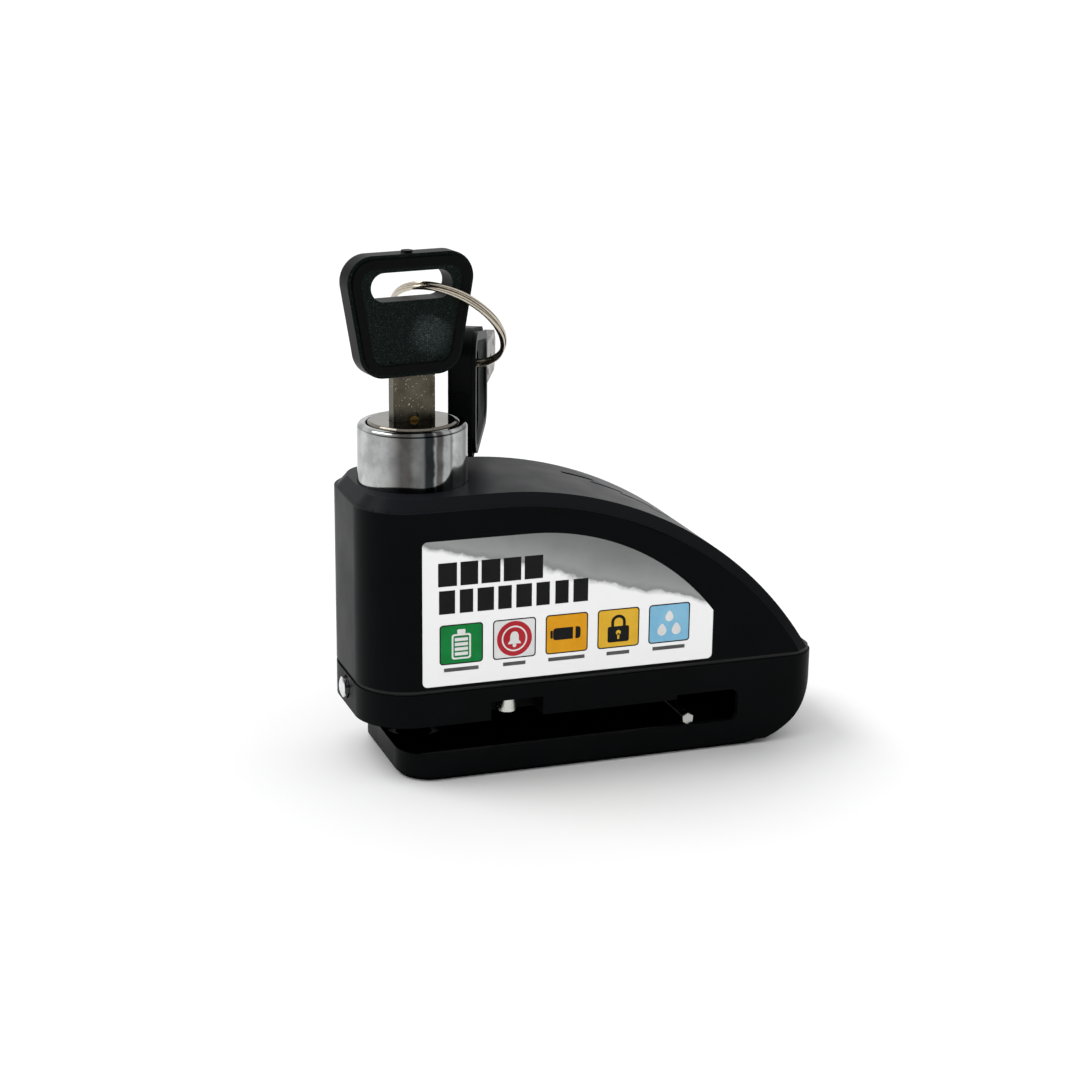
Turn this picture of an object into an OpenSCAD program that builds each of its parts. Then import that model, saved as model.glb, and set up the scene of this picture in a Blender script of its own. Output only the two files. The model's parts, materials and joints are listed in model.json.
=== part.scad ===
// Alarm disc brake lock: a cast jaw with an alarm housing on top, closed by a push-down key cylinder.
// Millimetres, +Z up, +X from the nose to the tail. The origin is on the lock pin's axis, at the base.

/* [Body] */
// Width of the casting and the cover, front face to back face
body_w = 33; // [32:0.5:36]
// Distance from the lock pin's axis to the tail
tail_x = 79.5; // [78:0.5:88]
// Height of the joint between casting and cover
seam_z = 17.8; // [17:0.1:20]
// Height of the cover's flat top
top_z = 55.5; // [55:0.1:60]
// Length of the flat top behind the lock pin's axis
flat_top_l = 12.5; // [10:0.5:16]
// Radius of the top's long fall to the tail
top_arc_r = 76; // [75:1:90]
// Corner radius of the tail seen from above
tail_corner_r = 6; // [4:0.5:9]
// Corner radius of the nose seen from above
nose_r = 10.3; // [9:0.1:13]
// Distance from the lock pin's axis to the nose
nose_x = 13.5; // [13.4:0.1:15.5]
// Radius of the tail's underside seen from the side
tail_under_r = 17; // [13:0.5:17]

/* [Disc slot] */
// Height of the slot's floor
floor_z = 5.7; // [5:0.1:7]
// Height of the slot that the brake disc goes into
slot_h = 5.6; // [5:0.1:7]
// Distance from the lock pin's axis to the slot's closed end
slot_end_x = 62; // [56:0.5:66]
// Corner radius of the slot's closed end
slot_corner_r = 1.5; // [0.5:0.25:2.5]
// Length of the taller pocket at the closed end
end_pocket_l = 13; // [8:0.5:18]
// How much taller that pocket is
end_pocket_rise = 0.9; // [0.4:0.1:1.5]
// Corner radius of the lower jaw's nose seen from above
jaw_nose_r = 7; // [5:0.5:11]
// Distance from the lock pin's axis to the lower jaw's nose
jaw_nose_x = 6.6; // [6.4:0.1:10]
// Chamfer round the foot of the lower jaw
foot_chamfer = 1; // [0.4:0.1:2]
// Diameter of the shallow round dish under the lock pin
dish_d = 12; // [10:0.2:12.4]
// Depth of that dish
dish_h = 1.2; // [0.6:0.1:1.8]

/* [Cover] */
// Wall thickness of the cover
cover_wall = 2.4; // [1.8:0.1:3]
// Height of the bevel round the top
bevel_h = 2.2; // [1.5:0.1:4]
// Width of the bevel round the top
bevel_w = 2.4; // [1.2:0.1:3]
// Width of the ledge at the foot of the bevel
ledge_w = 0.5; // [0.2:0.05:0.8]
// Number of sound slits in the top
slit_n = 5; // [3:1:6]
// Length of a sound slit
slit_l = 7; // [4:0.5:9]
// Width of a sound slit
slit_w = 1.5; // [1:0.1:2.2]
// Step from one sound slit to the next, along the body
slit_step_x = 5.2; // [4:0.1:6]
// Step from one sound slit to the next, across the body
slit_step_y = 2.9; // [2.4:0.1:3.2]
// Thickness of the rubber seal between casting and cover
seal_t = 0.8; // [0.5:0.1:1.2]

/* [Key cylinder] */
// Diameter of the chromed sleeve
sleeve_d = 21; // [19:0.5:22]
// Height of the sleeve above the top, unlocked
sleeve_rise = 11.4; // [10.8:0.1:13]
// Travel of the cylinder from unlocked to locked
push_travel = 10.5; // [9:0.25:10.5]
// Wall thickness of the sleeve
sleeve_wall = 1.7; // [1.2:0.1:2]
// Length of the sleeve below the top, unlocked
sleeve_below = 13.1; // [12:0.1:14]
// Diameter of the turning plug
plug_d = 12.4; // [11.6:0.2:13]
// Height of the plug's round head
plug_head_h = 2; // [1.5:0.1:3]
// How far the plug's head stands above the sleeve's rim
plug_head_rise = 0.4; // [0.1:0.1:0.8]
// Length of the plug below its head
plug_l = 25.5; // [24:0.5:28]
// Height of the locking cam under the plug
cam_h = 3.5; // [2.5:0.25:4]
// Reach of the locking cam's lobe from the axis
cam_reach = 11.6; // [11:0.1:11.8]
// Width of the locking cam's lobe
cam_w = 5; // [4:0.25:6]
// Diameter of the lock pin
pin_d = 7; // [6:0.25:8]
// Height of the lock pin's tip above the slot, unlocked
pin_tip_rise = 0.8; // [0.4:0.1:1.2]
// Depth of the lock pin's socket in the barrel
pin_socket_h = 3; // [2:0.25:3.2]
// Wire diameter of the return spring
spring_wire_d = 0.9; // [0.7:0.05:1]
// Mean diameter of the return spring
spring_d = 10; // [9.5:0.1:10.4]
// Number of curls in the return spring
spring_curls = 4; // [3:0.5:4]

/* [Key] */
// Width of the key's blade
blade_w = 8.6; // [7.5:0.1:9]
// Thickness of the key's blade
blade_t = 2.2; // [1.8:0.1:2.4]
// Length of blade that shows above the plug
blade_out = 8.7; // [8:0.1:12]
// Length of blade inside the plug
blade_in = 22; // [18:0.5:23]
// Width of the key's grip at its far end
bow_w = 25.5; // [24:0.5:26]
// Width of the key's grip beside the blade
bow_root_w = 21; // [20:0.5:22]
// Length of the key's grip
bow_l = 23; // [22:0.5:26]
// Thickness of the key's grip
bow_t = 5.4; // [5:0.1:5.6]
// Offset of the key's grip from the blade's middle
bow_shift = -0.9; // [-1.5:0.1:0]
// Corner radius of the key's grip
bow_r = 5; // [4:0.25:6]
// Width of the raised border round the grip
bow_border = 0.8; // [0.4:0.1:1.2]
// Length of the window that the ring goes through
window_l = 16.5; // [16:0.5:18]
// Width of the window that the ring goes through
window_w = 5.4; // [5.2:0.1:5.8]
// Bar between the window and the grip's far end
window_bar = 3.2; // [2.8:0.1:3.6]
// Turn of the key in the photographed position
key_turn = 8; // [0:1:12]
// Mean diameter of the key ring
ring_d = 23; // [22.5:0.25:23.5]
// Wire diameter of the key ring's two turns
ring_wire_d = 0.9; // [0.8:0.05:0.95]

/* [Alarm] */
// Diameter of a button cell
cell_d = 11.6; // [9.5:0.1:11.6]
// Height of a button cell
cell_h = 5.4; // [3.6:0.1:5.4]
// Diameter of the siren's can
siren_d = 19; // [16:0.5:20]
// Height of the siren's can
siren_h = 5; // [3:0.25:5.5]
// Thickness of the circuit board
board_t = 1.6; // [1:0.1:2]

/* [Fits] */
// Running clearance between pieces that turn or slide in each other, on the radius
run_gap = 0.08; // [0.05:0.01:0.15]
// Free clearance between pieces that pass each other
free_gap = 0.3; // [0.25:0.05:0.4]

/* [Hidden] */
$fn = 64;
eps = 0.01;
half_w = body_w / 2;
ceiling_z = floor_z + slot_h;
nose_c = nose_r - nose_x;

// Cylinder heights, unlocked
sleeve_r = sleeve_d / 2;
sleeve_in_r = sleeve_r - sleeve_wall;
rim_z = top_z + sleeve_rise;
sleeve_end_z = top_z - sleeve_below;
plug_r = plug_d / 2;
plug_head_r = sleeve_in_r - free_gap;
plug_top_z = rim_z + plug_head_rise;
plug_head_z = plug_top_z - plug_head_h;
barrel_top_z = plug_head_z - free_gap;
plug_end_z = plug_head_z - plug_l;
cam_z = plug_end_z - cam_h;
barrel_floor_z = cam_z - free_gap;
barrel_floor_t = 1;
barrel_end_z = barrel_floor_z - pin_socket_h - barrel_floor_t;
tower_end_z = plug_end_z + free_gap;
tower_wall = 1.2;
bore_r = sleeve_r + run_gap;
pin_r = pin_d / 2;
pin_top_z = barrel_end_z + pin_socket_h;
pin_tip_z = ceiling_z + pin_tip_rise;
pin_socket_gap = 0.6;
pin_hole_z = pin_tip_z - push_travel - pin_socket_gap;
spring_seat_h = 1.2;
spring_seat_z = seam_z - spring_seat_h;

// Keeper that the cam turns under when the cylinder is down
keeper_t = 1.8;
keeper_w = 8;
keeper_lip_z = cam_z + cam_h - push_travel + free_gap;
keeper_lip_x = sleeve_in_r + free_gap;
keeper_post_x = cam_reach + free_gap;
keeper_foot_l = 6;
keeper_hole_d = 2;
keeper_hole_x = keeper_post_x + keeper_t + keeper_foot_l / 2;
keeper_screw_h = 1.1;
keeper_screw_l = 4.6;
keeper_thread_h = 3;

// Guide screw in the nose
guide_shank_r = 1.2;
guide_tip_r = 0.9;
guide_tip_l = 2.1;
guide_head_r = 2;
guide_head_h = 1.7;
guide_z = spring_seat_z - guide_shank_r - free_gap;
guide_seat_x = free_gap - nose_x;
groove_h = 1.1;

// Cover screws: two flank the nose and the third is at the tail
screw_x = 15.2;
screw_inset = 4.3;
screw_y = half_w - screw_inset;
rear_screw_inset = 2.6;
rear_screw_x = slot_end_x - rear_screw_inset;
screw_spots = [[screw_x, -screw_y], [screw_x, screw_y], [rear_screw_x, 0]];
screw_r = 1.1;
screw_head_r = 1.85;
screw_head_h = 3.4;
screw_thread_h = 8;
screw_tip_gap = 0.5;
boss_r = 2.6;
seal_inset = 0.4;
notch_w = 10.5;
notch_shift = 0.7;
notch_z = ceiling_z + screw_head_h + free_gap;

// Hexagonal stop pin across the slot
stop_x = 51.8;
stop_r = 1.3;
stop_sink = 0.35;
stop_end_gap = 0.8;

// Alarm parts
board_x = 27.7;
board_l = 28;
board_w = 20;
board_rise = 4;
board_z = seam_z + board_rise;
board_top_z = board_z + board_t;
post_r = 2;
board_inset = 3;
board_screw_r = 0.9;
tray_wall = 1;
cell_gap = 0.2;
cell_face_gap = 0.1;
cells_per_row = 3;
cell_pitch = cell_d + tray_wall + 2 * cell_gap;
tray_inset = 0.5;
tray_x = board_x + tray_inset;
tray_l = 2 * cell_pitch + tray_wall;
contact_t = 0.9;
contact_part = 0.6;
cell_rim_h = 0.8;
cell_rim_w = 1.2;
tray_in_w = cells_per_row * cell_h + 2 * contact_t;
tray_w = tray_in_w + 2 * tray_wall;
tray_h = cell_d + cell_gap + tray_wall;
siren_z = board_top_z + tray_h;
siren_x = tray_x + siren_d / 2 - tray_wall;
siren_rim = 1;
siren_groove_w = 1.5;
siren_groove_h = 0.6;
siren_port_part = 0.2;
sensor_r = 2.6;
sensor_l = 8;
sensor_inset = 13.5;
sensor_x = tail_x - sensor_inset;
switch_x = 21.5;
switch_l = 5.5;
switch_y = -9.5;
switch_w = 5.5;
switch_h = 2.2;
switch_floor_h = 0.6;
switch_travel = 1;
button_w = 1.8;
button_end_gap = 0.2;
arm_t = 1;
button_z = seam_z + switch_floor_h + switch_travel + button_end_gap;
button_top_z = barrel_end_z - arm_t - push_travel + switch_travel - free_gap;
arm_w = 3;
arm_y = switch_y + switch_w / 2;
arm_end_x = switch_x + switch_l / 2 + arm_w / 2;

// Label on the front face
label_t = 0.12;
label_start = 0.2;
label_x = nose_c + label_start;
label_l = 59;
label_foot = 1.5;
label_z = seam_z + label_foot;
label_h = 28.5;
label_r = 1;
label_bend_x = 18;
label_arc_gap = 28;
label_arc_r = top_arc_r - label_arc_gap;

// Key places
key_z = plug_top_z;
bow_z = key_z + blade_out;
ring_r = ring_d / 2;
wire_r = ring_wire_d / 2;
window_z = bow_z + bow_l - window_bar - window_w;
ring_fall = 49;
ring_slant = 44;
ring_x = 3.15;
ring_shift = -0.26;
ring_y = ring_x * tan(key_turn) + ring_shift;
ring_dip = 2.1;
ring_sink = 0.05;
ring_seat_z = window_z + ring_dip;
ring_reach = ring_d * cos(ring_fall);
// The spare key hangs on the ring's low point, a little way along the wire
spare_along = -0.25;
spare_drop = 6.6;
spare_turn = -24;
spare_x = ring_x + ring_reach * cos(ring_slant) + spare_along * sin(ring_slant);
spare_y = ring_y + ring_reach * sin(ring_slant) - spare_along * cos(ring_slant);
spare_z = ring_seat_z - ring_d * sin(ring_fall) - spare_drop;
spare_root = bow_l - window_bar - window_w / 2;
// Moulding nub on the grip's far end
nub_d = 2.2;
nub_h = 0.4;

// Wafers that ride on the blade
wafer_n = 5;
wafer_t = 0.9;
wafer_step = 3.4;
wafer_below = 3;
wafer_z = plug_head_z - wafer_below;
wafer_inset = 0.35;
wafer_reach = plug_r - wafer_inset;
wafer_side_w = 1;
wafer_gap = 0.02;
blade_root = 6;
dimple_d = 1.6;
dimple_h = 0.4;
dimple_n = 3;
dimple_step = 5;
rim_chamfer = 0.6;
head_chamfer = 0.4;
tip_chamfer = 0.8;
slit_x = 36;
slit_y = 7;

// Least gap between neighbouring curls of the return spring
spring_end_gap = 0.05;
spring_top_z = barrel_end_z - spring_wire_d / 2 - spring_end_gap;
spring_low_z = spring_seat_z + spring_wire_d / 2 + spring_end_gap;
spring_pitch = (spring_top_z - spring_low_z) / spring_curls;
curl_rings = 8;
tube_sides = 6;
spring_points = [for (i = [0 : curl_rings * spring_curls])
    [spring_d / 2 * cos(360 * i / curl_rings), spring_d / 2 * sin(360 * i / curl_rings),
     spring_low_z + spring_pitch * i / curl_rings]];
spring_gap = min([for (i = [0 : len(spring_points) - 1], j = [0 : len(spring_points) - 1])
    if (j - i >= curl_rings - 1) norm(spring_points[j] - spring_points[i]) - spring_wire_d]);
echo(return_spring_least_gap = spring_gap);

// Outline with round corners: a polygon through the tangent points and a circle on each corner's centre
function edge_normal(a, b) = [b.y - a.y, a.x - b.x] / norm(b - a);
module round_outline(centres, r) {
    n = len(centres);
    polygon([for (i = [0 : n - 1]) each
        [centres[i] + r * edge_normal(centres[(i + n - 1) % n], centres[i]),
         centres[i] + r * edge_normal(centres[i], centres[(i + 1) % n])]]);
    for (c = centres) translate(c) circle(r);
}

module round_bar(l, w) {
    square([l - w, w], center = true);
    for (s = [-1, 1]) translate([s * (l - w) / 2, 0]) circle(w / 2);
}

// One end of a plan: two round corners of radius r at x, and straight sides to the middle
module end_plan(x, r, inset) {
    a = min(x - sign(x) * r, tail_x / 2);
    b = max(x - sign(x) * r, tail_x / 2);
    y = half_w - r;
    round_outline([[a, -y], [b, -y], [b, y], [a, y]], r - inset);
}

module body_plan(inset) {
    end_plan(-nose_x, nose_r, inset);
    end_plan(tail_x, tail_corner_r, inset);
}

// Plan of the lower jaw: its nose stands back, and its sides and tail are the body's own
module jaw_plan(inset) {
    end_plan(-jaw_nose_x, jaw_nose_r, inset);
    end_plan(tail_x, tail_corner_r, inset);
}

// Half section of the cover across the body, from the centre line to the wall
function wall_section(hw, low, high) = [[0, low], [hw, low], [hw, high - bevel_h],
    [hw - ledge_w, high - bevel_h], [hw - bevel_w, high], [0, high]];

// Outer form of the cover, or its hollow when drawn in by the wall
module cover_form(inset, low) {
    hw = half_w - inset;
    high = top_z - inset;
    r = top_arc_r - inset;
    intersection() {
        translate([0, 0, low]) linear_extrude(top_z) body_plan(inset);
        union() {
            for (s = [-1, 1]) translate([nose_c, s * (half_w - nose_r), 0])
                rotate_extrude() polygon(wall_section(nose_r - inset, low, high));
            translate([nose_c, 0, 0]) rotate([90, 0, 0]) linear_extrude(body_w - 2 * nose_r, center = true)
                mirror([1, 0]) polygon(wall_section(nose_r - inset, low, high));
            translate([nose_c, 0, 0]) rotate([90, 0, 90]) linear_extrude(flat_top_l - nose_c)
                for (s = [0, 1]) mirror([s, 0]) polygon(wall_section(hw, low, high));
            intersection() {
                translate([flat_top_l, -body_w, low]) cube([tail_x, 2 * body_w, top_z]);
                translate([flat_top_l, 0, top_z - top_arc_r]) rotate([90, 0, 0])
                    for (s = [0, 1]) mirror([0, 0, s])
                        rotate_extrude($fn = 128) mirror([1, -1]) polygon(wall_section(hw, 0, r));
            }
        }
    }
}

module slit(i) {
    translate([slit_x + slit_step_x * i, slit_y - slit_step_y * i, top_z - top_arc_r])
        linear_extrude(top_arc_r + eps) round_bar(slit_l, slit_w);
}

module cover_boss(spot) {
    translate([spot.x, spot.y, seam_z]) cylinder(r = boss_r, h = top_z);
}

module alarm_cover() color("#15171a") difference() {
    cover_form(0, seam_z + seal_t);
    difference() {
        cover_form(cover_wall, seam_z);
        translate([0, 0, tower_end_z]) cylinder(r = bore_r + tower_wall, h = top_z);
        for (spot = screw_spots) cover_boss(spot);
    }
    translate([0, 0, seam_z]) cylinder(r = bore_r, h = top_z);
    for (spot = screw_spots) translate([spot.x, spot.y, seam_z - eps])
        cylinder(r = screw_r, h = screw_thread_h);
    for (i = [0 : slit_n - 1]) slit(i);
}

module cover_seal() color("#0b0b0b") translate([0, 0, seam_z]) difference() {
    linear_extrude(seal_t) difference() {
        body_plan(seal_inset);
        body_plan(cover_wall);
    }
    for (spot = screw_spots) translate([spot.x, spot.y, -eps]) cylinder(r = boss_r + free_gap, h = top_z);
}

// Side view of the casting, with the round tail
module body_side() {
    translate([-body_w, 0]) square([body_w + tail_x - tail_under_r, seam_z]);
    intersection() {
        translate([tail_x - tail_under_r, tail_under_r]) circle(tail_under_r, $fn = 128);
        square([tail_x + eps, seam_z]);
    }
    translate([tail_x - tail_under_r, tail_under_r]) square([tail_under_r, seam_z - tail_under_r]);
}

module disc_slot() {
    translate([-tail_x, -body_w, floor_z]) cube([tail_x + slot_end_x - slot_corner_r, 2 * body_w, slot_h]);
    for (z = [floor_z + slot_corner_r, ceiling_z + end_pocket_rise - slot_corner_r])
        translate([slot_end_x - slot_corner_r, body_w, z]) rotate([90, 0, 0])
            cylinder(r = slot_corner_r, h = 2 * body_w);
    translate([slot_end_x - slot_corner_r - eps, -body_w, floor_z + slot_corner_r])
        cube([slot_corner_r + eps, 2 * body_w, slot_h + end_pocket_rise - 2 * slot_corner_r]);
    translate([slot_end_x - end_pocket_l, -body_w, ceiling_z - eps])
        cube([end_pocket_l - slot_corner_r, 2 * body_w, end_pocket_rise + eps]);
}

module stop_bar(r, l) {
    translate([stop_x, l / 2, floor_z + r - stop_sink]) rotate([90, 30, 0]) cylinder(r = r, h = l, $fn = 6);
}

module lock_body() color("#111214") difference() {
    intersection() {
        rotate([90, 0, 0]) translate([0, 0, -half_w]) linear_extrude(body_w) body_side();
        union() {
            translate([0, 0, floor_z + slot_h / 2]) linear_extrude(seam_z) body_plan(0);
            linear_extrude(foot_chamfer + eps) jaw_plan(foot_chamfer);
            translate([0, 0, foot_chamfer]) linear_extrude(floor_z + slot_h / 2 - foot_chamfer + eps)
                jaw_plan(0);
        }
    }
    disc_slot();
    translate([0, 0, pin_hole_z]) cylinder(r = pin_r + run_gap, h = top_z);
    translate([0, 0, floor_z - dish_h]) cylinder(d = dish_d, h = dish_h + eps);
    translate([0, 0, spring_seat_z]) cylinder(r = spring_d / 2 + spring_wire_d, h = top_z);
    for (spot = screw_spots) translate([spot.x, spot.y, floor_z + eps]) cylinder(r = screw_r, h = top_z);
    for (s = [-1, 1]) translate([screw_x + notch_shift - notch_w / 2, s * half_w - notch_w / 2,
        ceiling_z - eps])
        cube([notch_w, notch_w, notch_z - ceiling_z + eps]);
    for (spot = screw_spots) translate([spot.x, spot.y, ceiling_z - eps])
        cylinder(r = screw_head_r + free_gap, h = notch_z - ceiling_z);
    translate([0, 0, guide_z]) rotate([0, -90, 0]) {
        translate([0, 0, -guide_seat_x]) cylinder(r = guide_head_r + free_gap, h = nose_x);
        cylinder(r = guide_shank_r, h = body_w);
    }
    stop_bar(stop_r, 2 * body_w);
    for (y = [-1, 1]) translate([keeper_hole_x, y * keeper_w / 4, seam_z - keeper_thread_h])
        cylinder(d = keeper_hole_d, h = top_z);
}

module cover_screws() color("#c9cac6") for (spot = screw_spots) translate([spot.x, spot.y, notch_z]) {
    translate([0, 0, -screw_head_h]) difference() {
        cylinder(r = screw_head_r, h = screw_head_h);
        translate([0, 0, -eps]) cylinder(r = screw_head_r / 2, h = screw_head_h / 2, $fn = 6);
    }
    cylinder(r = screw_r, h = seam_z - notch_z + screw_thread_h - screw_tip_gap);
}

module stop_pin() color("#d5d5d0") stop_bar(stop_r, body_w - 2 * stop_end_gap);

module guide_screw() color("#b9bab6") translate([guide_seat_x, 0, guide_z]) rotate([0, -90, 0]) {
    intersection() {
        cylinder(r = guide_head_r, h = guide_head_h);
        translate([0, 0, guide_head_h - 2 * guide_head_r]) sphere(2 * guide_head_r);
    }
    translate([0, 0, guide_seat_x + pin_r + groove_h])
        cylinder(r = guide_shank_r, h = eps - guide_seat_x - pin_r - groove_h);
    translate([0, 0, guide_seat_x + pin_r - groove_h + free_gap]) cylinder(r = guide_tip_r, h = guide_tip_l);
}

// Film label: straight sides and a top edge that falls with the cover
module label_outline() {
    intersection() {
        translate([label_x, label_z]) round_outline([[label_r, label_r], [label_l - label_r, label_r],
            [label_l - label_r, label_h - label_r], [label_r, label_h - label_r]], label_r);
        union() {
            translate([label_bend_x, label_z + label_h - label_arc_r]) circle(label_arc_r, $fn = 128);
            translate([label_x, label_z]) square([label_bend_x - label_x, label_h]);
        }
    }
}

module side_label() color("#d9dadb") translate([0, -half_w, 0]) rotate([90, 0, 0])
    linear_extrude(label_t) label_outline();

module keeper() color("#8f9296") translate([0, -keeper_w / 2, 0]) difference() {
    union() {
        translate([keeper_lip_x, 0, keeper_lip_z])
            cube([keeper_post_x + keeper_t - keeper_lip_x, keeper_w, keeper_t]);
        translate([keeper_post_x, 0, seam_z]) cube([keeper_t, keeper_w, keeper_lip_z - seam_z + eps]);
        translate([keeper_post_x, 0, seam_z]) cube([keeper_foot_l + keeper_t, keeper_w, keeper_t]);
    }
    for (s = [-1, 1]) translate([keeper_hole_x, keeper_w / 2 + s * keeper_w / 4, seam_z - eps])
        cylinder(d = keeper_hole_d, h = 2 * keeper_t);
}

module keeper_screws() color("#c9cac6") for (y = [-1, 1])
    translate([keeper_hole_x, y * keeper_w / 4, seam_z + keeper_t]) {
        cylinder(d = keeper_hole_d + keeper_t - 2 * free_gap, h = keeper_screw_h);
        translate([0, 0, -keeper_screw_l]) cylinder(d = keeper_hole_d, h = keeper_screw_l + eps);
    }

module arming_switch() color("#1d2024") difference() {
    translate([switch_x, switch_y, seam_z]) cube([switch_l, switch_w, switch_h]);
    translate([switch_x + switch_l / 2, arm_y, seam_z + switch_floor_h])
        cylinder(d = button_w + 2 * run_gap, h = switch_h);
}

module switch_plunger() color("#e2462f")
    translate([switch_x + switch_l / 2, arm_y, button_z]) cylinder(d = button_w, h = button_top_z - button_z);

function board_spots() = [for (x = [board_x + board_inset, board_x + board_l - board_inset])
    each [[x, -board_w / 2 + board_inset], [x, board_w / 2 - board_inset]]];

module circuit_board() color("#1f6b3a") difference() {
    translate([board_x, -board_w / 2, board_z]) cube([board_l, board_w, board_t]);
    for (p = board_spots()) translate([p.x, p.y, board_z - eps]) cylinder(r = board_screw_r, h = 2 * board_t);
}

// Each screw stands in a spacer that holds the board above the casting
module board_screws() color("#c9cac6") for (p = board_spots()) translate([p.x, p.y, seam_z]) {
    cylinder(r = post_r, h = board_z - seam_z);
    cylinder(r = board_screw_r, h = board_top_z - seam_z);
}

function cell_x(i) = tray_x + tray_wall + cell_gap + cell_d / 2 + i * cell_pitch;

module battery_tray() color("#24272b") translate([tray_x, -tray_w / 2, board_top_z]) difference() {
    cube([tray_l, tray_w, tray_h]);
    for (i = [0, 1]) translate([cell_x(i) - tray_x, tray_wall, tray_wall + cell_gap + cell_d / 2]) {
        rotate([-90, 0, 0]) cylinder(d = cell_d + 2 * cell_gap, h = tray_in_w);
        translate([-cell_d / 2 - cell_gap, 0, 0]) cube([cell_d + 2 * cell_gap, tray_in_w, cell_d]);
    }
}

module button_cells() color("#cfd1d3") for (i = [0, 1], j = [0 : cells_per_row - 1])
    translate([cell_x(i), (j - cells_per_row / 2) * cell_h, board_top_z + tray_wall + cell_d / 2])
        rotate([-90, 0, 0]) {
            cylinder(d = cell_d, h = cell_h - cell_rim_h);
            cylinder(d = cell_d - 2 * cell_rim_w, h = cell_h - cell_face_gap);
        }

module battery_contacts() color("#c2a24a") for (i = [0, 1], s = [-1, 1])
    translate([cell_x(i), s * (tray_in_w - contact_t) / 2, board_top_z + tray_wall + cell_gap + cell_d / 2])
        cube([cell_d * contact_part, contact_t, cell_d * contact_part], center = true);

module siren() color("#101113") translate([siren_x, 0, siren_z]) difference() {
    cylinder(d = siren_d, h = siren_h);
    translate([0, 0, siren_h / 2]) cylinder(d = siren_d * siren_port_part, h = siren_h);
    translate([0, 0, siren_h - siren_groove_h]) difference() {
        cylinder(d = siren_d - 2 * siren_rim, h = siren_h);
        cylinder(d = siren_d - 2 * siren_rim - 2 * siren_groove_w, h = 3 * siren_h, center = true);
    }
}

module motion_sensor() color("#b8babc") translate([sensor_x, -sensor_l / 2, seam_z + sensor_r])
    rotate([-90, 0, 0]) cylinder(r = sensor_r, h = sensor_l);

// Round wire along a list of points, with flat ends
module wire(points, r, sides) {
    n = len(points);
    function along(i) = let (d = points[min(i + 1, n - 1)] - points[max(i - 1, 0)]) d / norm(d);
    function side(i) = let (s = cross(along(i), [0, 0, 1])) s / norm(s);
    rings = [for (i = [0 : n - 1], k = [0 : sides - 1])
        let (s = side(i), u = cross(s, along(i)))
            points[i] + r * (s * cos(360 * k / sides) + u * sin(360 * k / sides))];
    faces = [for (i = [0 : n - 2], k = [0 : sides - 1])
        let (a = i * sides + k, b = i * sides + (k + 1) % sides)
            each [[a, b, b + sides], [a, b + sides, a + sides]]];
    low_end = [for (k = [1 : sides - 2]) [0, k + 1, k]];
    high_end = [for (k = [1 : sides - 2]) [(n - 1) * sides, (n - 1) * sides + k, (n - 1) * sides + k + 1]];
    polyhedron(rings, concat(faces, low_end, high_end));
}

module return_spring() color("#a9abad") wire(spring_points, spring_wire_d / 2, tube_sides);

module cylinder_sleeve() color("#d8dadc") rotate_extrude() polygon([[sleeve_in_r, sleeve_end_z],
    [sleeve_r, sleeve_end_z], [sleeve_r, rim_z - rim_chamfer], [sleeve_r - rim_chamfer, rim_z],
    [sleeve_in_r, rim_z]]);

module cylinder_barrel() color("#a8843f") difference() {
    translate([0, 0, barrel_end_z]) cylinder(r = sleeve_in_r, h = barrel_top_z - barrel_end_z);
    translate([0, 0, barrel_floor_z]) cylinder(r = plug_r + run_gap, h = top_z);
    // Window that the cam's lobe sweeps through, a quarter turn and the lobe's own width
    translate([0, 0, barrel_floor_z]) linear_extrude(cam_h + 2 * free_gap) {
        translate([-cam_w / 2 - free_gap, 0]) square([cam_w + 2 * free_gap, sleeve_d]);
        translate([0, -cam_w / 2 - free_gap]) square([sleeve_d, cam_w + 2 * free_gap]);
        square(sleeve_d);
    }
    translate([0, 0, barrel_end_z - eps]) cylinder(r = pin_r, h = pin_socket_h + eps);
}

module lock_pin() color("#c4c6c8") difference() {
    union() {
        translate([0, 0, pin_tip_z + tip_chamfer])
            cylinder(r = pin_r, h = pin_top_z - pin_tip_z - tip_chamfer);
        translate([0, 0, pin_tip_z]) cylinder(r1 = pin_r - tip_chamfer, r2 = pin_r, h = tip_chamfer);
    }
    translate([-2 * pin_r, -guide_tip_r - free_gap, guide_z - guide_tip_r - free_gap])
        cube([pin_r + groove_h, 2 * (guide_tip_r + free_gap), push_travel + 2 * (guide_tip_r + free_gap)]);
}

// Steel arm under the barrel that reaches over the arming switch
module switch_arm() color("#8f9296") translate([0, 0, barrel_end_z - arm_t]) difference() {
    translate([0, arm_y - arm_w / 2, 0]) cube([arm_end_x, arm_w, arm_t]);
    translate([0, 0, -eps]) cylinder(r = spring_d / 2 + spring_wire_d, h = 2 * arm_t);
}

module keyway(l) {
    rotate([0, 0, key_turn]) translate([-blade_w / 2 - run_gap, -blade_t / 2 - run_gap, -l])
        cube([blade_w + 2 * run_gap, blade_t + 2 * run_gap, 2 * l]);
}

module key_plug() color("#cfd1d3") difference() {
    union() {
        translate([0, 0, plug_head_z]) cylinder(r = plug_head_r, h = plug_head_h - head_chamfer);
        translate([0, 0, plug_top_z - head_chamfer])
            cylinder(r1 = plug_head_r, r2 = plug_head_r - head_chamfer, h = head_chamfer);
        translate([0, 0, plug_end_z]) cylinder(r = plug_r, h = plug_l + eps);
    }
    translate([0, 0, plug_top_z]) keyway(blade_in + free_gap);
    for (i = [0 : wafer_n - 1]) wafer_slot(i, wafer_gap);
}

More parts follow.
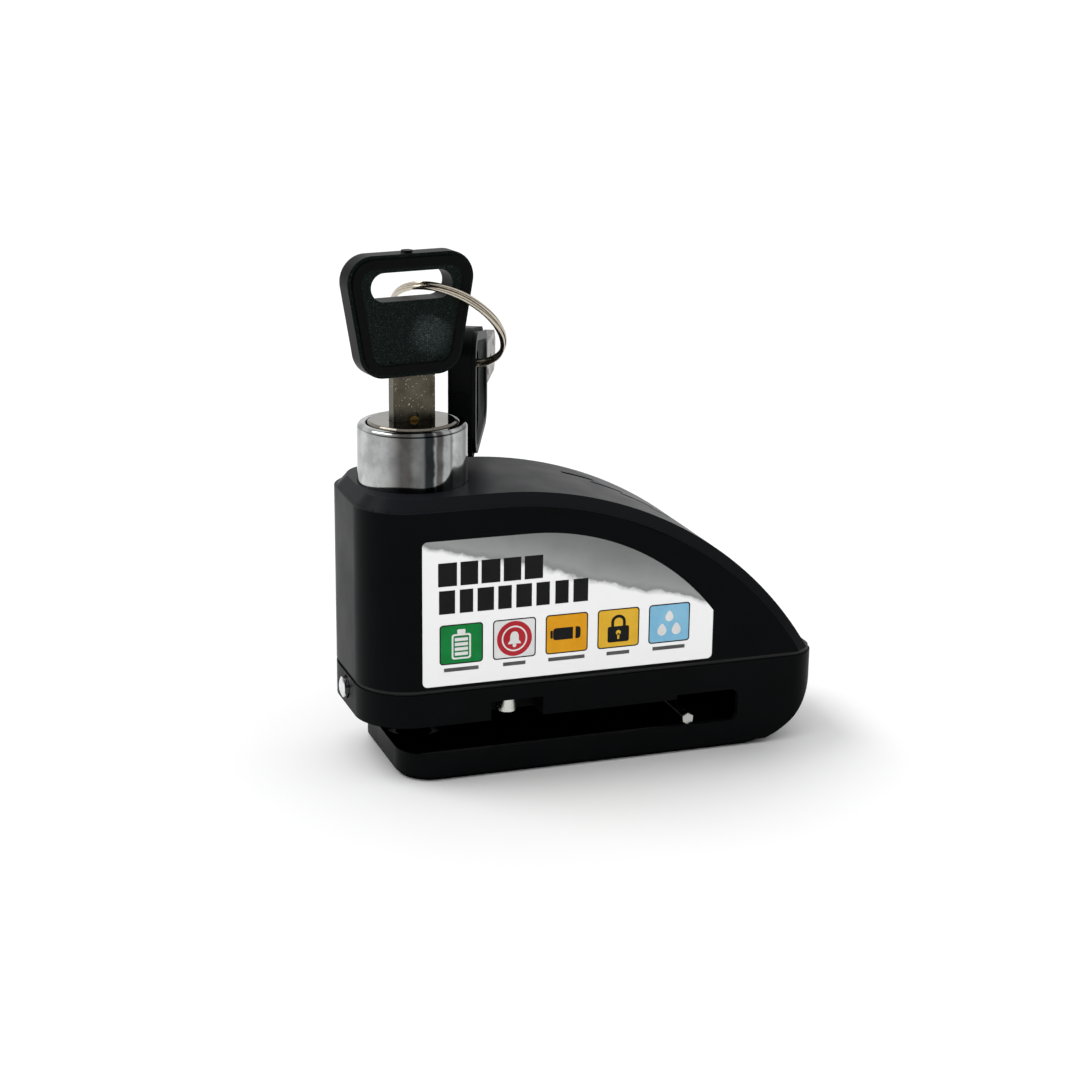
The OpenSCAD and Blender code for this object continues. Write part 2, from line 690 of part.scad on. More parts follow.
// Each wafer is a frame round the blade, in its own cut across the plug
module wafer_slot(i, gap) {
    rotate([0, 0, key_turn]) translate([0, 0, wafer_z - wafer_step * i]) intersection() {
        cylinder(r = wafer_reach + gap, h = wafer_t + 2 * gap, center = true);
        cube([blade_w + 2 * (wafer_side_w + gap), plug_d, plug_d], center = true);
    }
}

module plug_wafers() color("#b48a3c") difference() {
    for (i = [0 : wafer_n - 1]) wafer_slot(i, 0);
    translate([0, 0, plug_top_z]) rotate([0, 0, key_turn])
        cube([blade_w + 2 * run_gap, blade_t + 2 * free_gap, 4 * blade_in], center = true);
}

module locking_cam() color("#8f9296") translate([0, 0, cam_z]) {
    cylinder(r = plug_r - free_gap, h = cam_h);
    linear_extrude(cam_h) intersection() {
        translate([-cam_w / 2, 0]) square([cam_w, cam_reach]);
        circle(cam_reach);
    }
}

// The key's steel blade, with its foot inside the grip; z = 0 is at the plug's face
module blade_shape() {
    difference() {
        translate([-blade_w / 2, -blade_t / 2, -blade_in])
            cube([blade_w, blade_t, blade_in + blade_out + blade_root]);
        translate([0, 0, -blade_in]) rotate([90, 0, 0]) linear_extrude(2 * blade_t, center = true)
            for (s = [-1, 1]) polygon([[s * blade_w, -blade_t], [s * blade_w, 2 * blade_t],
                [s * blade_w / 2, blade_t], [s * blade_w / 4, -eps], [s * blade_w / 4, -blade_t]]);
        for (i = [0 : dimple_n - 1], s = [-1, 1])
            translate([(i - 1) * blade_w / 4, s * blade_t / 2, (i + 1) * dimple_step - blade_in])
                rotate([90, 0, 0]) cylinder(d = dimple_d, h = 2 * dimple_h, center = true);
        translate([0, -blade_t / 2, dimple_d / 2]) rotate([90, 0, 0])
            cylinder(d = dimple_d, h = 2 * dimple_h, center = true);
    }
}

bow_centres = let (top = bow_w / 2 - bow_r, root = bow_root_w / 2 - bow_r)
    [[-root, bow_r], [root, bow_r], [top, bow_l - bow_r], [-top, bow_l - bow_r]];

// The moulded grip, with its window; z = 0 is at the grip's lower end
module bow_shape() {
    rotate([90, 0, 0]) difference() {
        translate([bow_shift, 0, 0]) {
            linear_extrude(bow_t - 2 * bow_border, center = true) round_outline(bow_centres, bow_r);
            linear_extrude(bow_t, center = true) round_outline(bow_centres, bow_r - bow_border);
            translate([0, bow_l - eps, 0]) rotate([-90, 0, 0]) cylinder(d = nub_d, h = nub_h + eps);
        }
        translate([bow_shift, bow_l - window_bar - window_w / 2, 0]) linear_extrude(2 * bow_t, center = true)
            round_bar(window_l, window_w);
        translate([-blade_w / 2, -eps, -blade_t / 2]) cube([blade_w, blade_root + eps, blade_t]);
    }
}

module place_key() translate([0, 0, key_z]) rotate([0, 0, key_turn]) children();
module place_spare() translate([spare_x, spare_y, spare_z]) rotate([0, 0, spare_turn])
    translate([0, spare_root, 0]) rotate([90, 90, 0]) children();

module key_blade() color("#bdb9a8") place_key() blade_shape();
module key_bow() color("#141516") place_key() translate([0, 0, blade_out]) bow_shape();
module spare_key_blade() color("#bdb9a8") place_spare() translate([0, 0, -blade_out]) blade_shape();
module spare_key_bow() color("#141516") place_spare() bow_shape();

// Two flat turns of steel wire; the ring hangs from the window's lower edge and leans outwards
module key_ring() color("#b5b1a6") translate([ring_x, ring_y, ring_seat_z])
    rotate([0, ring_fall, ring_slant]) translate([ring_r, 0, 0]) rotate_extrude()
        for (s = [-1, 1]) translate([ring_r, s * (wire_r - ring_sink)]) circle(wire_r, $fn = 24);

lock_body();
alarm_cover();
cover_seal();
cover_screws();
stop_pin();
guide_screw();
side_label();
keeper();
keeper_screws();
arming_switch();
switch_plunger();
circuit_board();
board_screws();
battery_tray();
button_cells();
battery_contacts();
siren();
motion_sensor();
return_spring();
cylinder_sleeve();
cylinder_barrel();
lock_pin();
switch_arm();
key_plug();
plug_wafers();
locking_cam();
key_blade();
key_bow();
key_ring();
spare_key_blade();
spare_key_bow();
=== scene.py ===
"""Alarm disc brake lock: finishes, softened edges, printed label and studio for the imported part."""

import json
import math

import bmesh
import bpy
import numpy as np
from mathutils import Matrix, Vector
from mathutils.geometry import convex_hull_2d


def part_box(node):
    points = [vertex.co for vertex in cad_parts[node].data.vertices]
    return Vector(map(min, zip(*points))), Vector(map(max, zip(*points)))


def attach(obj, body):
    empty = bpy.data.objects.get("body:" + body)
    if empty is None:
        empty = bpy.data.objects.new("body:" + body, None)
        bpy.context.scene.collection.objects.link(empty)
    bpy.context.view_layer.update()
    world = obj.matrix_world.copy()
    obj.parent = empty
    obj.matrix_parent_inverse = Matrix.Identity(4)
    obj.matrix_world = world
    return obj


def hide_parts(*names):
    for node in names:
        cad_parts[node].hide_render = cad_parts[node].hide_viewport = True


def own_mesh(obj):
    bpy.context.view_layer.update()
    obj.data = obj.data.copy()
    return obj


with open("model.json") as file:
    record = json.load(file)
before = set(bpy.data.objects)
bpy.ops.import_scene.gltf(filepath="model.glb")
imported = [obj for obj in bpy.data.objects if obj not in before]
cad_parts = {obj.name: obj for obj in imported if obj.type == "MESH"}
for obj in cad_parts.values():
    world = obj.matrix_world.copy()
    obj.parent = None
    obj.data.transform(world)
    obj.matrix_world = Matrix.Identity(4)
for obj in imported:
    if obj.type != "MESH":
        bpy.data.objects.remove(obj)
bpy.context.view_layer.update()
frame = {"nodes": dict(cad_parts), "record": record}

bl_info = {
    "name": "Alarm disc brake lock",
    "version": (1, 0, 0),
    "blender": (4, 5, 0),
    "location": "View3D > Sidebar > Disc lock",
    "description": "Dresses the packed disc brake lock with finishes, a printed label and a studio",
    "category": "Object",
}

MM = 0.001
BODY_OF = {node: body for body, nodes in frame["record"]["behaviour"]["bodies"].items() for node in nodes}
SLOT_OF = {part["node"]: part["material_slot"] for part in frame["record"]["subparts"]}


def colour(hex_value):
    """An sRGB hex value as linear red, green, blue and alpha."""
    parts = [int(hex_value[i:i + 2], 16) / 255 for i in (1, 3, 5)]
    return tuple(c / 12.92 if c <= 0.04045 else ((c + 0.055) / 1.055) ** 2.4 for c in parts) + (1.0,)


def add(tree, kind, values=(), links=(), stops=(), **settings):
    """Adds a node, sets its properties, its inputs' values and its ramp's stops, and links its inputs.

    Each stop of a ramp is a position and a hex value.
    """
    made = tree.nodes.new(kind)
    for name, value in settings.items():
        setattr(made, name, value)
    for name, value in dict(values).items():
        made.inputs[name].default_value = value
    for name, socket in dict(links).items():
        tree.links.new(socket, made.inputs[name])
    if stops:
        steps = made.color_ramp.elements
        steps[0].position = stops[0][0]
        steps[-1].position = stops[-1][0]
        for position, _ in stops[1:-1]:
            steps.new(position)
        for step, (_, tone) in zip(steps, stops):
            step.color = colour(tone)
    return made


def surface(name, values):
    """A new material with one shader, whose constant values sit on its own sockets."""
    material = bpy.data.materials.new(name)
    material.use_nodes = True
    tree = material.node_tree
    shader = tree.nodes["Principled BSDF"]
    for socket, value in values.items():
        shader.inputs[socket].default_value = value
    return material, tree, shader


def grained(name, dark, light, grain_mm, depth_mm, rough, metallic=0.0, stretch=(1, 1, 1), detail=3.0,
            blotch_mm=9.0, specular=0.5):
    """Colour, gloss and relief from two noises on Object coordinates, with sizes in millimetres.

    The fine noise is the surface's grain or tool marks, and the wide one its handling and plating blotches.
    """
    material, tree, shader = surface(name, {"Metallic": metallic, "Specular IOR Level": specular})
    place = add(tree, "ShaderNodeTexCoord").outputs["Object"]
    drawn = add(tree, "ShaderNodeMapping", {"Scale": stretch}, {"Vector": place}).outputs["Vector"]
    fine = add(tree, "ShaderNodeTexNoise", {"Scale": 1 / (grain_mm * MM), "Detail": detail},
               {"Vector": drawn}).outputs["Fac"]
    wide = add(tree, "ShaderNodeTexNoise", {"Scale": 1 / (blotch_mm * MM), "Detail": 4.0},
               {"Vector": place}).outputs["Fac"]
    both = add(tree, "ShaderNodeMath", {1: 0.5}, {0: fine, 2: wide},
               operation="MULTIPLY_ADD").outputs["Value"]
    tone = add(tree, "ShaderNodeValToRGB", (), {"Fac": both}, stops=((0.45, dark), (1.0, light)))
    gloss = add(tree, "ShaderNodeMapRange",
                {"From Min": 0.5, "From Max": 1.0, "To Min": rough[0], "To Max": rough[1]}, {"Value": both})
    relief = add(tree, "ShaderNodeBump", {"Strength": 1.0, "Distance": depth_mm * MM}, {"Height": fine})
    tree.links.new(tone.outputs["Color"], shader.inputs["Base Color"])
    tree.links.new(gloss.outputs["Result"], shader.inputs["Roughness"])
    tree.links.new(relief.outputs["Normal"], shader.inputs["Normal"])
    return material


def lay_tone(material, mask, tone):
    """Lays another tone over a material's colour where a mask is 1."""
    tree = material.node_tree
    base = tree.nodes["Principled BSDF"].inputs["Base Color"]
    mixed = add(tree, "ShaderNodeMix", {"B": colour(tone)}, {"Factor": mask, "A": base.links[0].from_socket},
                data_type="RGBA")
    tree.links.new(mixed.outputs["Result"], base)


def powder_coat():
    """Satin powder coat on zinc alloy: fine even grain and soft wide highlights, with painted light on top:
    upward faces are drawn paler.
    """
    material = grained("satin_powder_coat", dark="#050607", light="#090b0d", grain_mm=0.22, depth_mm=0.004,
                       rough=(0.28, 0.38), specular=0.035)
    tree = material.node_tree
    normal = add(tree, "ShaderNodeNewGeometry").outputs["Normal"]
    upward = add(tree, "ShaderNodeSeparateXYZ", (), {"Vector": normal}).outputs["Z"]
    # Painted light: the more a face looks up, the paler it is drawn, standing in for the sheen from above
    painted_top_light = add(tree, "ShaderNodeMapRange", {"From Min": 0.25, "From Max": 0.85}, {"Value": upward})
    lay_tone(material, painted_top_light.outputs["Result"], "#1d1e22")
    return material


# The disc slot and the taller pocket at its end, where shade is painted: corners in millimetres, a little
# short of the outer faces
SLOT_BOXES = (((-14.0, -15.3, 5.5), (63.0, 15.3, 11.35)), ((44.0, -15.3, 5.5), (63.0, 15.3, 15.5)))


def within(tree, boxes):
    """A mask that is 1 inside any of the boxes and 0 elsewhere."""
    place = add(tree, "ShaderNodeTexCoord").outputs["Object"]
    parts = add(tree, "ShaderNodeSeparateXYZ", (), {"Vector": place}).outputs
    masks = []
    for low, high in boxes:
        near = [add(tree, "ShaderNodeMath", {1: (least + most) / 2 * MM, 2: (most - least) / 2 * MM},
                    {0: parts[axis]}, operation="COMPARE").outputs["Value"]
                for axis, least, most in zip("XYZ", low, high)]
        flat = add(tree, "ShaderNodeMath", (), {0: near[0], 1: near[1]}, operation="MINIMUM")
        box = add(tree, "ShaderNodeMath", (), {0: flat.outputs["Value"], 1: near[2]}, operation="MINIMUM")
        masks.append(box.outputs["Value"])
    found = masks[0]
    for mask in masks[1:]:
        either = add(tree, "ShaderNodeMath", (), {0: found, 1: mask}, operation="MAXIMUM")
        found = either.outputs["Value"]
    return found


def coated_casting():
    """Powder coat over the sand-blasted casting: a little coarser and duller, with painted shade in the slot:
    near black, matt and without specular there.
    """
    material = grained("coated_zinc_casting", dark="#060708", light="#0a0c0d", grain_mm=0.35, depth_mm=0.007,
                       rough=(0.34, 0.46))
    tree = material.node_tree
    shader = tree.nodes["Principled BSDF"]
    # Painted shade: inside the slot the colour goes near black and the gloss goes away, as in shadow
    painted_slot_shade = within(tree, SLOT_BOXES)
    lay_tone(material, painted_slot_shade, "#020202")
    dull = add(tree, "ShaderNodeMix", {"B": 0.9},
               {"Factor": painted_slot_shade, "A": shader.inputs["Roughness"].links[0].from_socket})
    gloss = add(tree, "ShaderNodeMapRange", {"To Min": 0.035, "To Max": 0.0}, {"Value": painted_slot_shade})
    tree.links.new(dull.outputs["Result"], shader.inputs["Roughness"])
    tree.links.new(gloss.outputs["Result"], shader.inputs["Specular IOR Level"])
    return material


def pin_with_painted_shade():
    """Zinc plate on the pin across the slot: bright at its ends, and darkened by painted shade between them,
    inside the slot.
    """
    material = grained("zinc_plated_pin", dark="#b3b4b0", light="#dcdcd6", grain_mm=0.3, depth_mm=0.002,
                       rough=(0.18, 0.34), metallic=1.0)
    # Painted shade: the part of the pin inside the slot is drawn near black
    lay_tone(material, within(material.node_tree, SLOT_BOXES), "#0d0d0c")
    return material


def rolled_blade():
    """Rolled nickel silver: warm grey with marks along the blade and bright nicks from use."""
    material = grained("rolled_nickel_silver", dark="#3a372f", light="#625d50", grain_mm=0.22, depth_mm=0.006,
                       rough=(0.22, 0.42), metallic=1.0, stretch=(1, 1, 0.12), detail=5.0, blotch_mm=2.5)
    tree = material.node_tree
    place = add(tree, "ShaderNodeTexCoord").outputs["Object"]
    nick = add(tree, "ShaderNodeTexNoise", {"Scale": 1 / (0.36 * MM), "Detail": 3.0}, {"Vector": place})
    seen = add(tree, "ShaderNodeMapRange", {"From Min": 0.665, "From Max": 0.72},
               {"Value": nick.outputs["Fac"]})
    lay_tone(material, seen.outputs["Result"], "#cfcabb")
    return material


def moulded_grip():
    """Nylon moulded in a tool with a spark-eroded field: a dull grained face inside a smooth border, with
    painted light in the thumb hollow.
    """
    material, tree, shader = surface("moulded_nylon_grip", {"Specular IOR Level": 0.06})
    place = add(tree, "ShaderNodeTexCoord").outputs["Object"]
    field = add(tree, "ShaderNodeAttribute", attribute_name="field").outputs["Fac"]
    # Spark erosion leaves a grit of about a tenth of a millimetre, drawn coarser so that it shows
    grit = add(tree, "ShaderNodeTexNoise", {"Scale": 1 / (0.21 * MM), "Detail": 2.0, "Roughness": 0.7},
               {"Vector": place}).outputs["Fac"]
    specks = add(tree, "ShaderNodeValToRGB", (), {"Fac": grit},
                 stops=((0.38, "#08100e"), (0.58, "#131c1a"), (0.72, "#3c4844")))
    lit_wall = add(tree, "ShaderNodeValToRGB", (), {"Fac": grit},
                 stops=((0.38, "#1d2524"), (0.58, "#353d3c"), (0.72, "#6d7675")))
    # Painted light: the thumb hollow's middle-right, where light falls on its wall, is drawn paler
    painted_light = add(tree, "ShaderNodeAttribute", attribute_name="painted_light").outputs["Fac"]
    face = add(tree, "ShaderNodeMix", (),
               {"Factor": painted_light, "A": specks.outputs["Color"], "B": lit_wall.outputs["Color"]}, data_type="RGBA")
    tone = add(tree, "ShaderNodeMix", {"A": colour("#050607")},
               {"Factor": field, "B": face.outputs["Result"]}, data_type="RGBA")
    rough = add(tree, "ShaderNodeMapRange", {"To Min": 0.40, "To Max": 0.66}, {"Value": field})
    grain = add(tree, "ShaderNodeMath", (), {0: grit, 1: field}, operation="MULTIPLY")
    relief = add(tree, "ShaderNodeBump", {"Strength": 1.0, "Distance": 0.05 * MM},
                 {"Height": grain.outputs["Value"]})
    tree.links.new(tone.outputs["Result"], shader.inputs["Base Color"])
    tree.links.new(rough.outputs["Result"], shader.inputs["Roughness"])
    tree.links.new(relief.outputs["Normal"], shader.inputs["Normal"])
    return material


# The label's sheen: how far its edge falls for each unit along the label, the heights between which its tones
# change where the label's length starts, how ragged its edge is, and the tones
SHEEN_FALL = 0.285
SHEEN_HEIGHTS = (44.6 * MM, 64.6 * MM)
SHEEN_RAGGED = 6 * MM
SHEEN_TONES = ((0.20, "#fafafa"), (0.235, "#d0d1d0"), (0.255, "#8b8d8c"), (0.31, "#979998"),
               (0.52, "#7f8180"), (0.90, "#5c5e5d"))


def label_film():
    """Metallised polyester film: bright at the foot and a greyer sheen above a ragged slanted edge."""
    material, tree, shader = surface("metallised_polyester_film", {"Metallic": 0.55, "Roughness": 0.24})
    place = add(tree, "ShaderNodeTexCoord").outputs["Object"]
    parts = add(tree, "ShaderNodeSeparateXYZ", (), {"Vector": place}).outputs
    wave = add(tree, "ShaderNodeTexNoise", {"Scale": 1 / (11 * MM), "Detail": 7.0, "Roughness": 0.6},
               {"Vector": place})
    bent = add(tree, "ShaderNodeMath", {1: SHEEN_RAGGED}, {0: wave.outputs["Fac"], 2: parts["Z"]},
               operation="MULTIPLY_ADD")
    slant = add(tree, "ShaderNodeMath", {1: SHEEN_FALL}, {0: parts["X"], 2: bent.outputs["Value"]},
                operation="MULTIPLY_ADD")
    level = add(tree, "ShaderNodeMapRange", {"From Min": SHEEN_HEIGHTS[0], "From Max": SHEEN_HEIGHTS[1]},
                {"Value": slant.outputs["Value"]})
    tone = add(tree, "ShaderNodeValToRGB", (), {"Fac": level.outputs["Result"]}, stops=SHEEN_TONES)
    grain = add(tree, "ShaderNodeTexNoise", {"Scale": 1 / (0.5 * MM), "Detail": 2.0}, {"Vector": place})
    relief = add(tree, "ShaderNodeBump", {"Strength": 0.15, "Distance": 0.01 * MM},
                 {"Height": grain.outputs["Fac"]})
    tree.links.new(tone.outputs["Color"], shader.inputs["Base Color"])
    tree.links.new(relief.outputs["Normal"], shader.inputs["Normal"])
    return material


# What an upright chromed wall shows of a plain room: the tone at each angle round its axis, in degrees
PALE_WALL = "#9ea09f"
MIDDLE_WALL = "#6f7270"
DARK_CORNER = "#585655"
BLACK_DOOR = "#2b2e31"
WINDOW = "#c2c4c3"
ROOM_STRIPES = (
    (-180, PALE_WALL), (-165, WINDOW), (-130, PALE_WALL), (-116, DARK_CORNER), (-107, DARK_CORNER),
    (-102, MIDDLE_WALL), (-93, MIDDLE_WALL), (-90, BLACK_DOOR), (-82, BLACK_DOOR), (-80, PALE_WALL),
    (-78, DARK_CORNER), (-72, DARK_CORNER), (-69, PALE_WALL), (-61, PALE_WALL), (-60, DARK_CORNER),
    (-57, WINDOW), (-42, PALE_WALL), (-34, DARK_CORNER), (20, PALE_WALL), (60, DARK_CORNER),
    (75, BLACK_DOOR), (110, MIDDLE_WALL), (150, WINDOW), (180, PALE_WALL))
# How far uneven plating bends a stripe's edge, as a share of the way round
STRIPE_BEND = 0.012


def striped_chrome():
    """Bright chrome on the upright sleeve, with the dark and pale stripes of a room round its axis."""
    material = grained("bright_chrome_on_sleeve", dark="#ffffff", light="#ffffff", grain_mm=0.6,
                       depth_mm=0.0004, rough=(0.06, 0.12), metallic=1.0, stretch=(0.2, 0.2, 3))
    tree = material.node_tree
    place = add(tree, "ShaderNodeTexCoord").outputs["Object"]
    parts = add(tree, "ShaderNodeSeparateXYZ", (), {"Vector": place}).outputs
    angle = add(tree, "ShaderNodeMath", (), {0: parts["Y"], 1: parts["X"]}, operation="ARCTAN2")
    turn = add(tree, "ShaderNodeMapRange", {"From Min": -math.pi, "From Max": math.pi},
               {"Value": angle.outputs["Value"]})
    # Plating that isn't quite even bends the stripes' edges and clouds them
    cloud = add(tree, "ShaderNodeTexNoise", {"Scale": 1 / (3 * MM), "Detail": 5.0},
                {"Vector": place}).outputs["Fac"]
    bent = add(tree, "ShaderNodeMath", {1: STRIPE_BEND}, {0: cloud, 2: turn.outputs["Result"]},
               operation="MULTIPLY_ADD")
    tone = add(tree, "ShaderNodeValToRGB", (), {"Fac": bent.outputs["Value"]},
               stops=[((degrees + 180) / 360, grey) for degrees, grey in ROOM_STRIPES])
    haze = add(tree, "ShaderNodeValToRGB", (), {"Fac": cloud}, stops=((0.36, "#d6d6d6"), (0.62, "#ffffff")))
    clouded = add(tree, "ShaderNodeMix", {"Factor": 1.0},
                  {"A": tone.outputs["Color"], "B": haze.outputs["Color"]},
                  data_type="RGBA", blend_type="MULTIPLY")
    tree.links.new(clouded.outputs["Result"], tree.nodes["Principled BSDF"].inputs["Base Color"])
    return material


def ink(name, dark, light):
    """Screen-printed ink: nearly even, with the slight mottle of the mesh it was pressed through."""
    return grained(name, dark, light, grain_mm=0.18, depth_mm=0.002, rough=(0.38, 0.48), blotch_mm=4.0,
                   specular=0.12)


INKS = {
    "black_ink": ("black_screen_ink", "#0c0c0c", "#1a1a1a"),
    "grey_ink": ("grey_screen_ink", "#4a4a4a", "#6b6b6b"),
    "white_ink": ("white_screen_ink", "#eeeeec", "#ffffff"),
    "green_ink": ("green_screen_ink", "#0a7a36", "#129245"),
    "red_ink": ("red_screen_ink", "#b5202c", "#cf3440"),
    "orange_ink": ("orange_screen_ink", "#efa010", "#fbb526"),
    "yellow_ink": ("yellow_screen_ink", "#f2b828", "#fccb45"),
    "blue_ink": ("light_blue_screen_ink", "#7fc6ec", "#9fd8f5"),
}
# Bare and plated metals: name, dark and light tone, size and depth of the grain in millimetres, range of
# roughness, and how the grain is drawn out
METALS = {
    # Chrome on the plug's face: a mirror that shows the dark grip above it
    "dark_mirror_chrome": ("chrome_on_plug_face", "#57534c", "#7b776e", 0.6, 0.0004, (0.05, 0.09), (1, 1, 1)),
    # Bright chrome plate on turned steel: a mirror with faint turning marks round the axis
    "bright_chrome": ("bright_chrome_plate", "#c9cbcd", "#e6e7e8", 0.6, 0.0004, (0.05, 0.09), (0.2, 0.2, 3)),
    # Zinc plate on a cold-headed screw: bright but hazy
    "zinc_plate": ("zinc_plated_steel", "#b3b4b0", "#dcdcd6", 0.3, 0.002, (0.18, 0.34), (1, 1, 1)),
    # Ground hardened steel: grey with fine marks
    "ground_steel": ("ground_hardened_steel", "#7f8285", "#a9acae", 0.15, 0.002, (0.25, 0.4), (1, 1, 6)),
    # Drawn spring wire: darker oil-tempered grey
    "spring_wire": ("oil_tempered_wire", "#5f6265", "#8a8d90", 0.2, 0.002, (0.3, 0.45), (1, 1, 1)),
    # Nickel plate on flattened ring wire: warm bright metal
    "nickel_plate": ("nickel_plated_ring_wire", "#a39a8b", "#d6cdbd", 0.4, 0.002, (0.12, 0.24), (1, 1, 1)),
    # Turned brass: yellow with tool rings
    "turned_brass": ("turned_brass", "#9a7a35", "#caa75a", 0.25, 0.003, (0.2, 0.35), (0.2, 0.2, 4)),
    # Brass left dull in a drilled dimple
    "tarnished_brass": ("tarnished_brass", "#5d4722", "#97793c", 0.25, 0.003, (0.3, 0.45), (1, 1, 1)),
    # Drawn cell cans: bright rolled steel
    "drawn_can": ("drawn_steel_can", "#b5b7b9", "#dfe0e1", 0.3, 0.001, (0.15, 0.28), (1, 1, 1)),
}
# Mouldings and laminate: the same as far as the range of roughness
MOULDINGS = {
    # Moulded nitrile rubber: matt, nearly black
    "moulded_nitrile": ("moulded_nitrile_seal", "#0a0a0a", "#141414", 0.25, 0.006, (0.6, 0.75)),
    # Moulded ABS: dark with a fine matt tool texture
    "moulded_abs": ("moulded_abs", "#1b1d20", "#2b2e32", 0.3, 0.008, (0.4, 0.55)),
    # Moulded acetal button: red with a slight wax gloss
    "moulded_acetal": ("moulded_acetal", "#a81f14", "#d24330", 0.5, 0.002, (0.3, 0.4)),
    # Solder mask on glass laminate: green with the weave just showing through
    "solder_mask": ("solder_masked_laminate", "#0f4d26", "#237a42", 0.45, 0.004, (0.25, 0.38)),
}
# Finishes with more to them than grain
WORKED_FINISHES = {
    "satin_powder_coat": powder_coat,
    "coated_casting": coated_casting,
    "pin_with_painted_shade": pin_with_painted_shade,
    "rolled_blade": rolled_blade,
    "moulded_grip": moulded_grip,
    "striped_chrome": striped_chrome,
    "label_film": label_film,
}
MADE_FINISHES = {}


def finish_of(name):
    """The named finish, made once."""
    if name not in MADE_FINISHES:
        if name in INKS:
            made = ink(*INKS[name])
        elif name in METALS:
            *grain, stretch = METALS[name]
            made = grained(*grain, metallic=1.0, stretch=stretch)
        elif name in MOULDINGS:
            made = grained(*MOULDINGS[name])
        else:
            made = WORKED_FINISHES[name]()
        MADE_FINISHES[name] = made
    return MADE_FINISHES[name]


def settle(piece, body, finish, slot):
    """Gives a finished piece its material and its body; its record slot is not used."""
    if finish:
        piece.data.materials.clear()
        piece.data.materials.append(finish_of(finish))
    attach(piece, body)
    return piece


def coat(node, finish):
    """Puts a finish on a CAD node that keeps its own shape."""
    made = frame["nodes"][node]
    if not made.material_slots:
        made.data.materials.append(None)
    for place in made.material_slots:
        place.material = finish_of(finish)


# Edges sharper than this stay hard in the shading
HARD_EDGE = math.radians(35)


def to_object(name, bm, hard_edge=HARD_EDGE):
    """A plain mesh object from a bmesh, smooth apart from its hard edges."""
    mesh = bpy.data.meshes.new(name)
    bm.to_mesh(mesh)
    bm.free()
    mesh.shade_smooth()
    mesh.set_sharp_from_angle(angle=hard_edge)
    made = bpy.data.objects.new(name, mesh)
    bpy.context.scene.collection.objects.link(made)
    return made


def flatten(made):
    """Turns an object's modifiers into its plain mesh."""
    ready = made.evaluated_get(bpy.context.evaluated_depsgraph_get())
    mesh = bpy.data.meshes.new_from_object(ready)
    made.modifiers.clear()
    made.data = mesh
    return made


# Corners of a CAD mesh closer than this are one, and faces flatter than this to each other are one
MERGE_GAP = 0.002 * MM
MERGE_ANGLE = math.radians(0.4)


def merged(node):
    """A CAD node's mesh as a bmesh of whole faces."""
    bm = bmesh.new()
    bm.from_mesh(frame["nodes"][node].data)
    bmesh.ops.remove_doubles(bm, verts=bm.verts, dist=MERGE_GAP)
    bmesh.ops.dissolve_limit(bm, angle_limit=MERGE_ANGLE, verts=bm.verts, edges=bm.edges)
    return bm


def skin(bm, loops):
    """Joins closed loops with as many corners by faces, each loop to the next."""
    for near, far in zip(loops, loops[1:]):
        for k in range(len(near)):
            after = (k + 1) % len(near)
            bm.faces.new((near[k], near[after], far[after], far[k]))


def rounding(made, width, segments, angle=None):
    """Rounds the edges sharper than an angle, or those that carry a weight."""
    edge = made.modifiers.new("Edge", "BEVEL")
    edge.width = width
    edge.segments = segments
    edge.limit_method = "ANGLE" if angle else "WEIGHT"
    if angle:
        edge.angle_limit = angle
    edge.use_clamp_overlap = True


def even_light(made):
    """Lets the large faces lead the shading, so that flats stay flat beside their rounded edges."""
    even = made.modifiers.new("Even light", "WEIGHTED_NORMAL")
    even.keep_sharp = True
    even.weight = 50


def weigh(bm, weight_of):
    """Gives each edge between two faces the weight that its middle and its angle in degrees call for."""
    layer = bm.edges.layers.float.new("bevel_weight_edge")
    for edge in bm.edges:
        if edge.is_manifold:
            middle = (edge.verts[0].co + edge.verts[1].co) / 2
            edge[layer] = weight_of(middle, math.degrees(edge.calc_face_angle_signed()))


# Steps across a rounded edge and across a wide one, and the angle from which an edge is rounded
EDGE_SEGMENTS = 3
WIDE_SEGMENTS = 5
ROUNDED_FROM = math.radians(28)


def soften(node, finish, width, wide=0.0, wide_test=None):
    """Replaces a CAD node by a copy whose hard edges are rounded as the real piece's are, and some wider."""
    bm = merged(node)
    if wide_test:
        weigh(bm, wide_test)
    made = to_object(node + "_finished", bm)
    if wide_test:
        rounding(made, wide, WIDE_SEGMENTS)
    rounding(made, width, EDGE_SEGMENTS, ROUNDED_FROM)
    even_light(made)
    flatten(made)
    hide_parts(node)
    return settle(made, BODY_OF[node], finish, SLOT_OF[node])


def by_rule(name, inputs, lay, finish):
    """A plain mesh from a Geometry Nodes tree with named inputs, each a label, a kind and a value."""
    tree = bpy.data.node_groups.new(name, "GeometryNodeTree")
    face = tree.interface
    face.new_socket("Geometry", in_out="OUTPUT", socket_type="NodeSocketGeometry")
    sockets = [(face.new_socket(label, in_out="INPUT", socket_type=kind).identifier, value)
               for label, kind, value in inputs]
    laid = lay(tree, add(tree, "NodeGroupInput").outputs)
    real = add(tree, "GeometryNodeRealizeInstances", (), {"Geometry": laid.outputs[0]})
    coated = add(tree, "GeometryNodeSetMaterial", {"Material": finish_of(finish)},
                 {"Geometry": real.outputs["Geometry"]})
    add(tree, "NodeGroupOutput", (), {"Geometry": coated.outputs["Geometry"]})
    made = bpy.data.objects.new(name, bpy.data.meshes.new(name))
    bpy.context.scene.collection.objects.link(made)
    modifier = made.modifiers.new("Rule", "NODES")
    modifier.node_group = tree
    for identifier, value in sockets:
        modifier[identifier] = value
    return flatten(made)


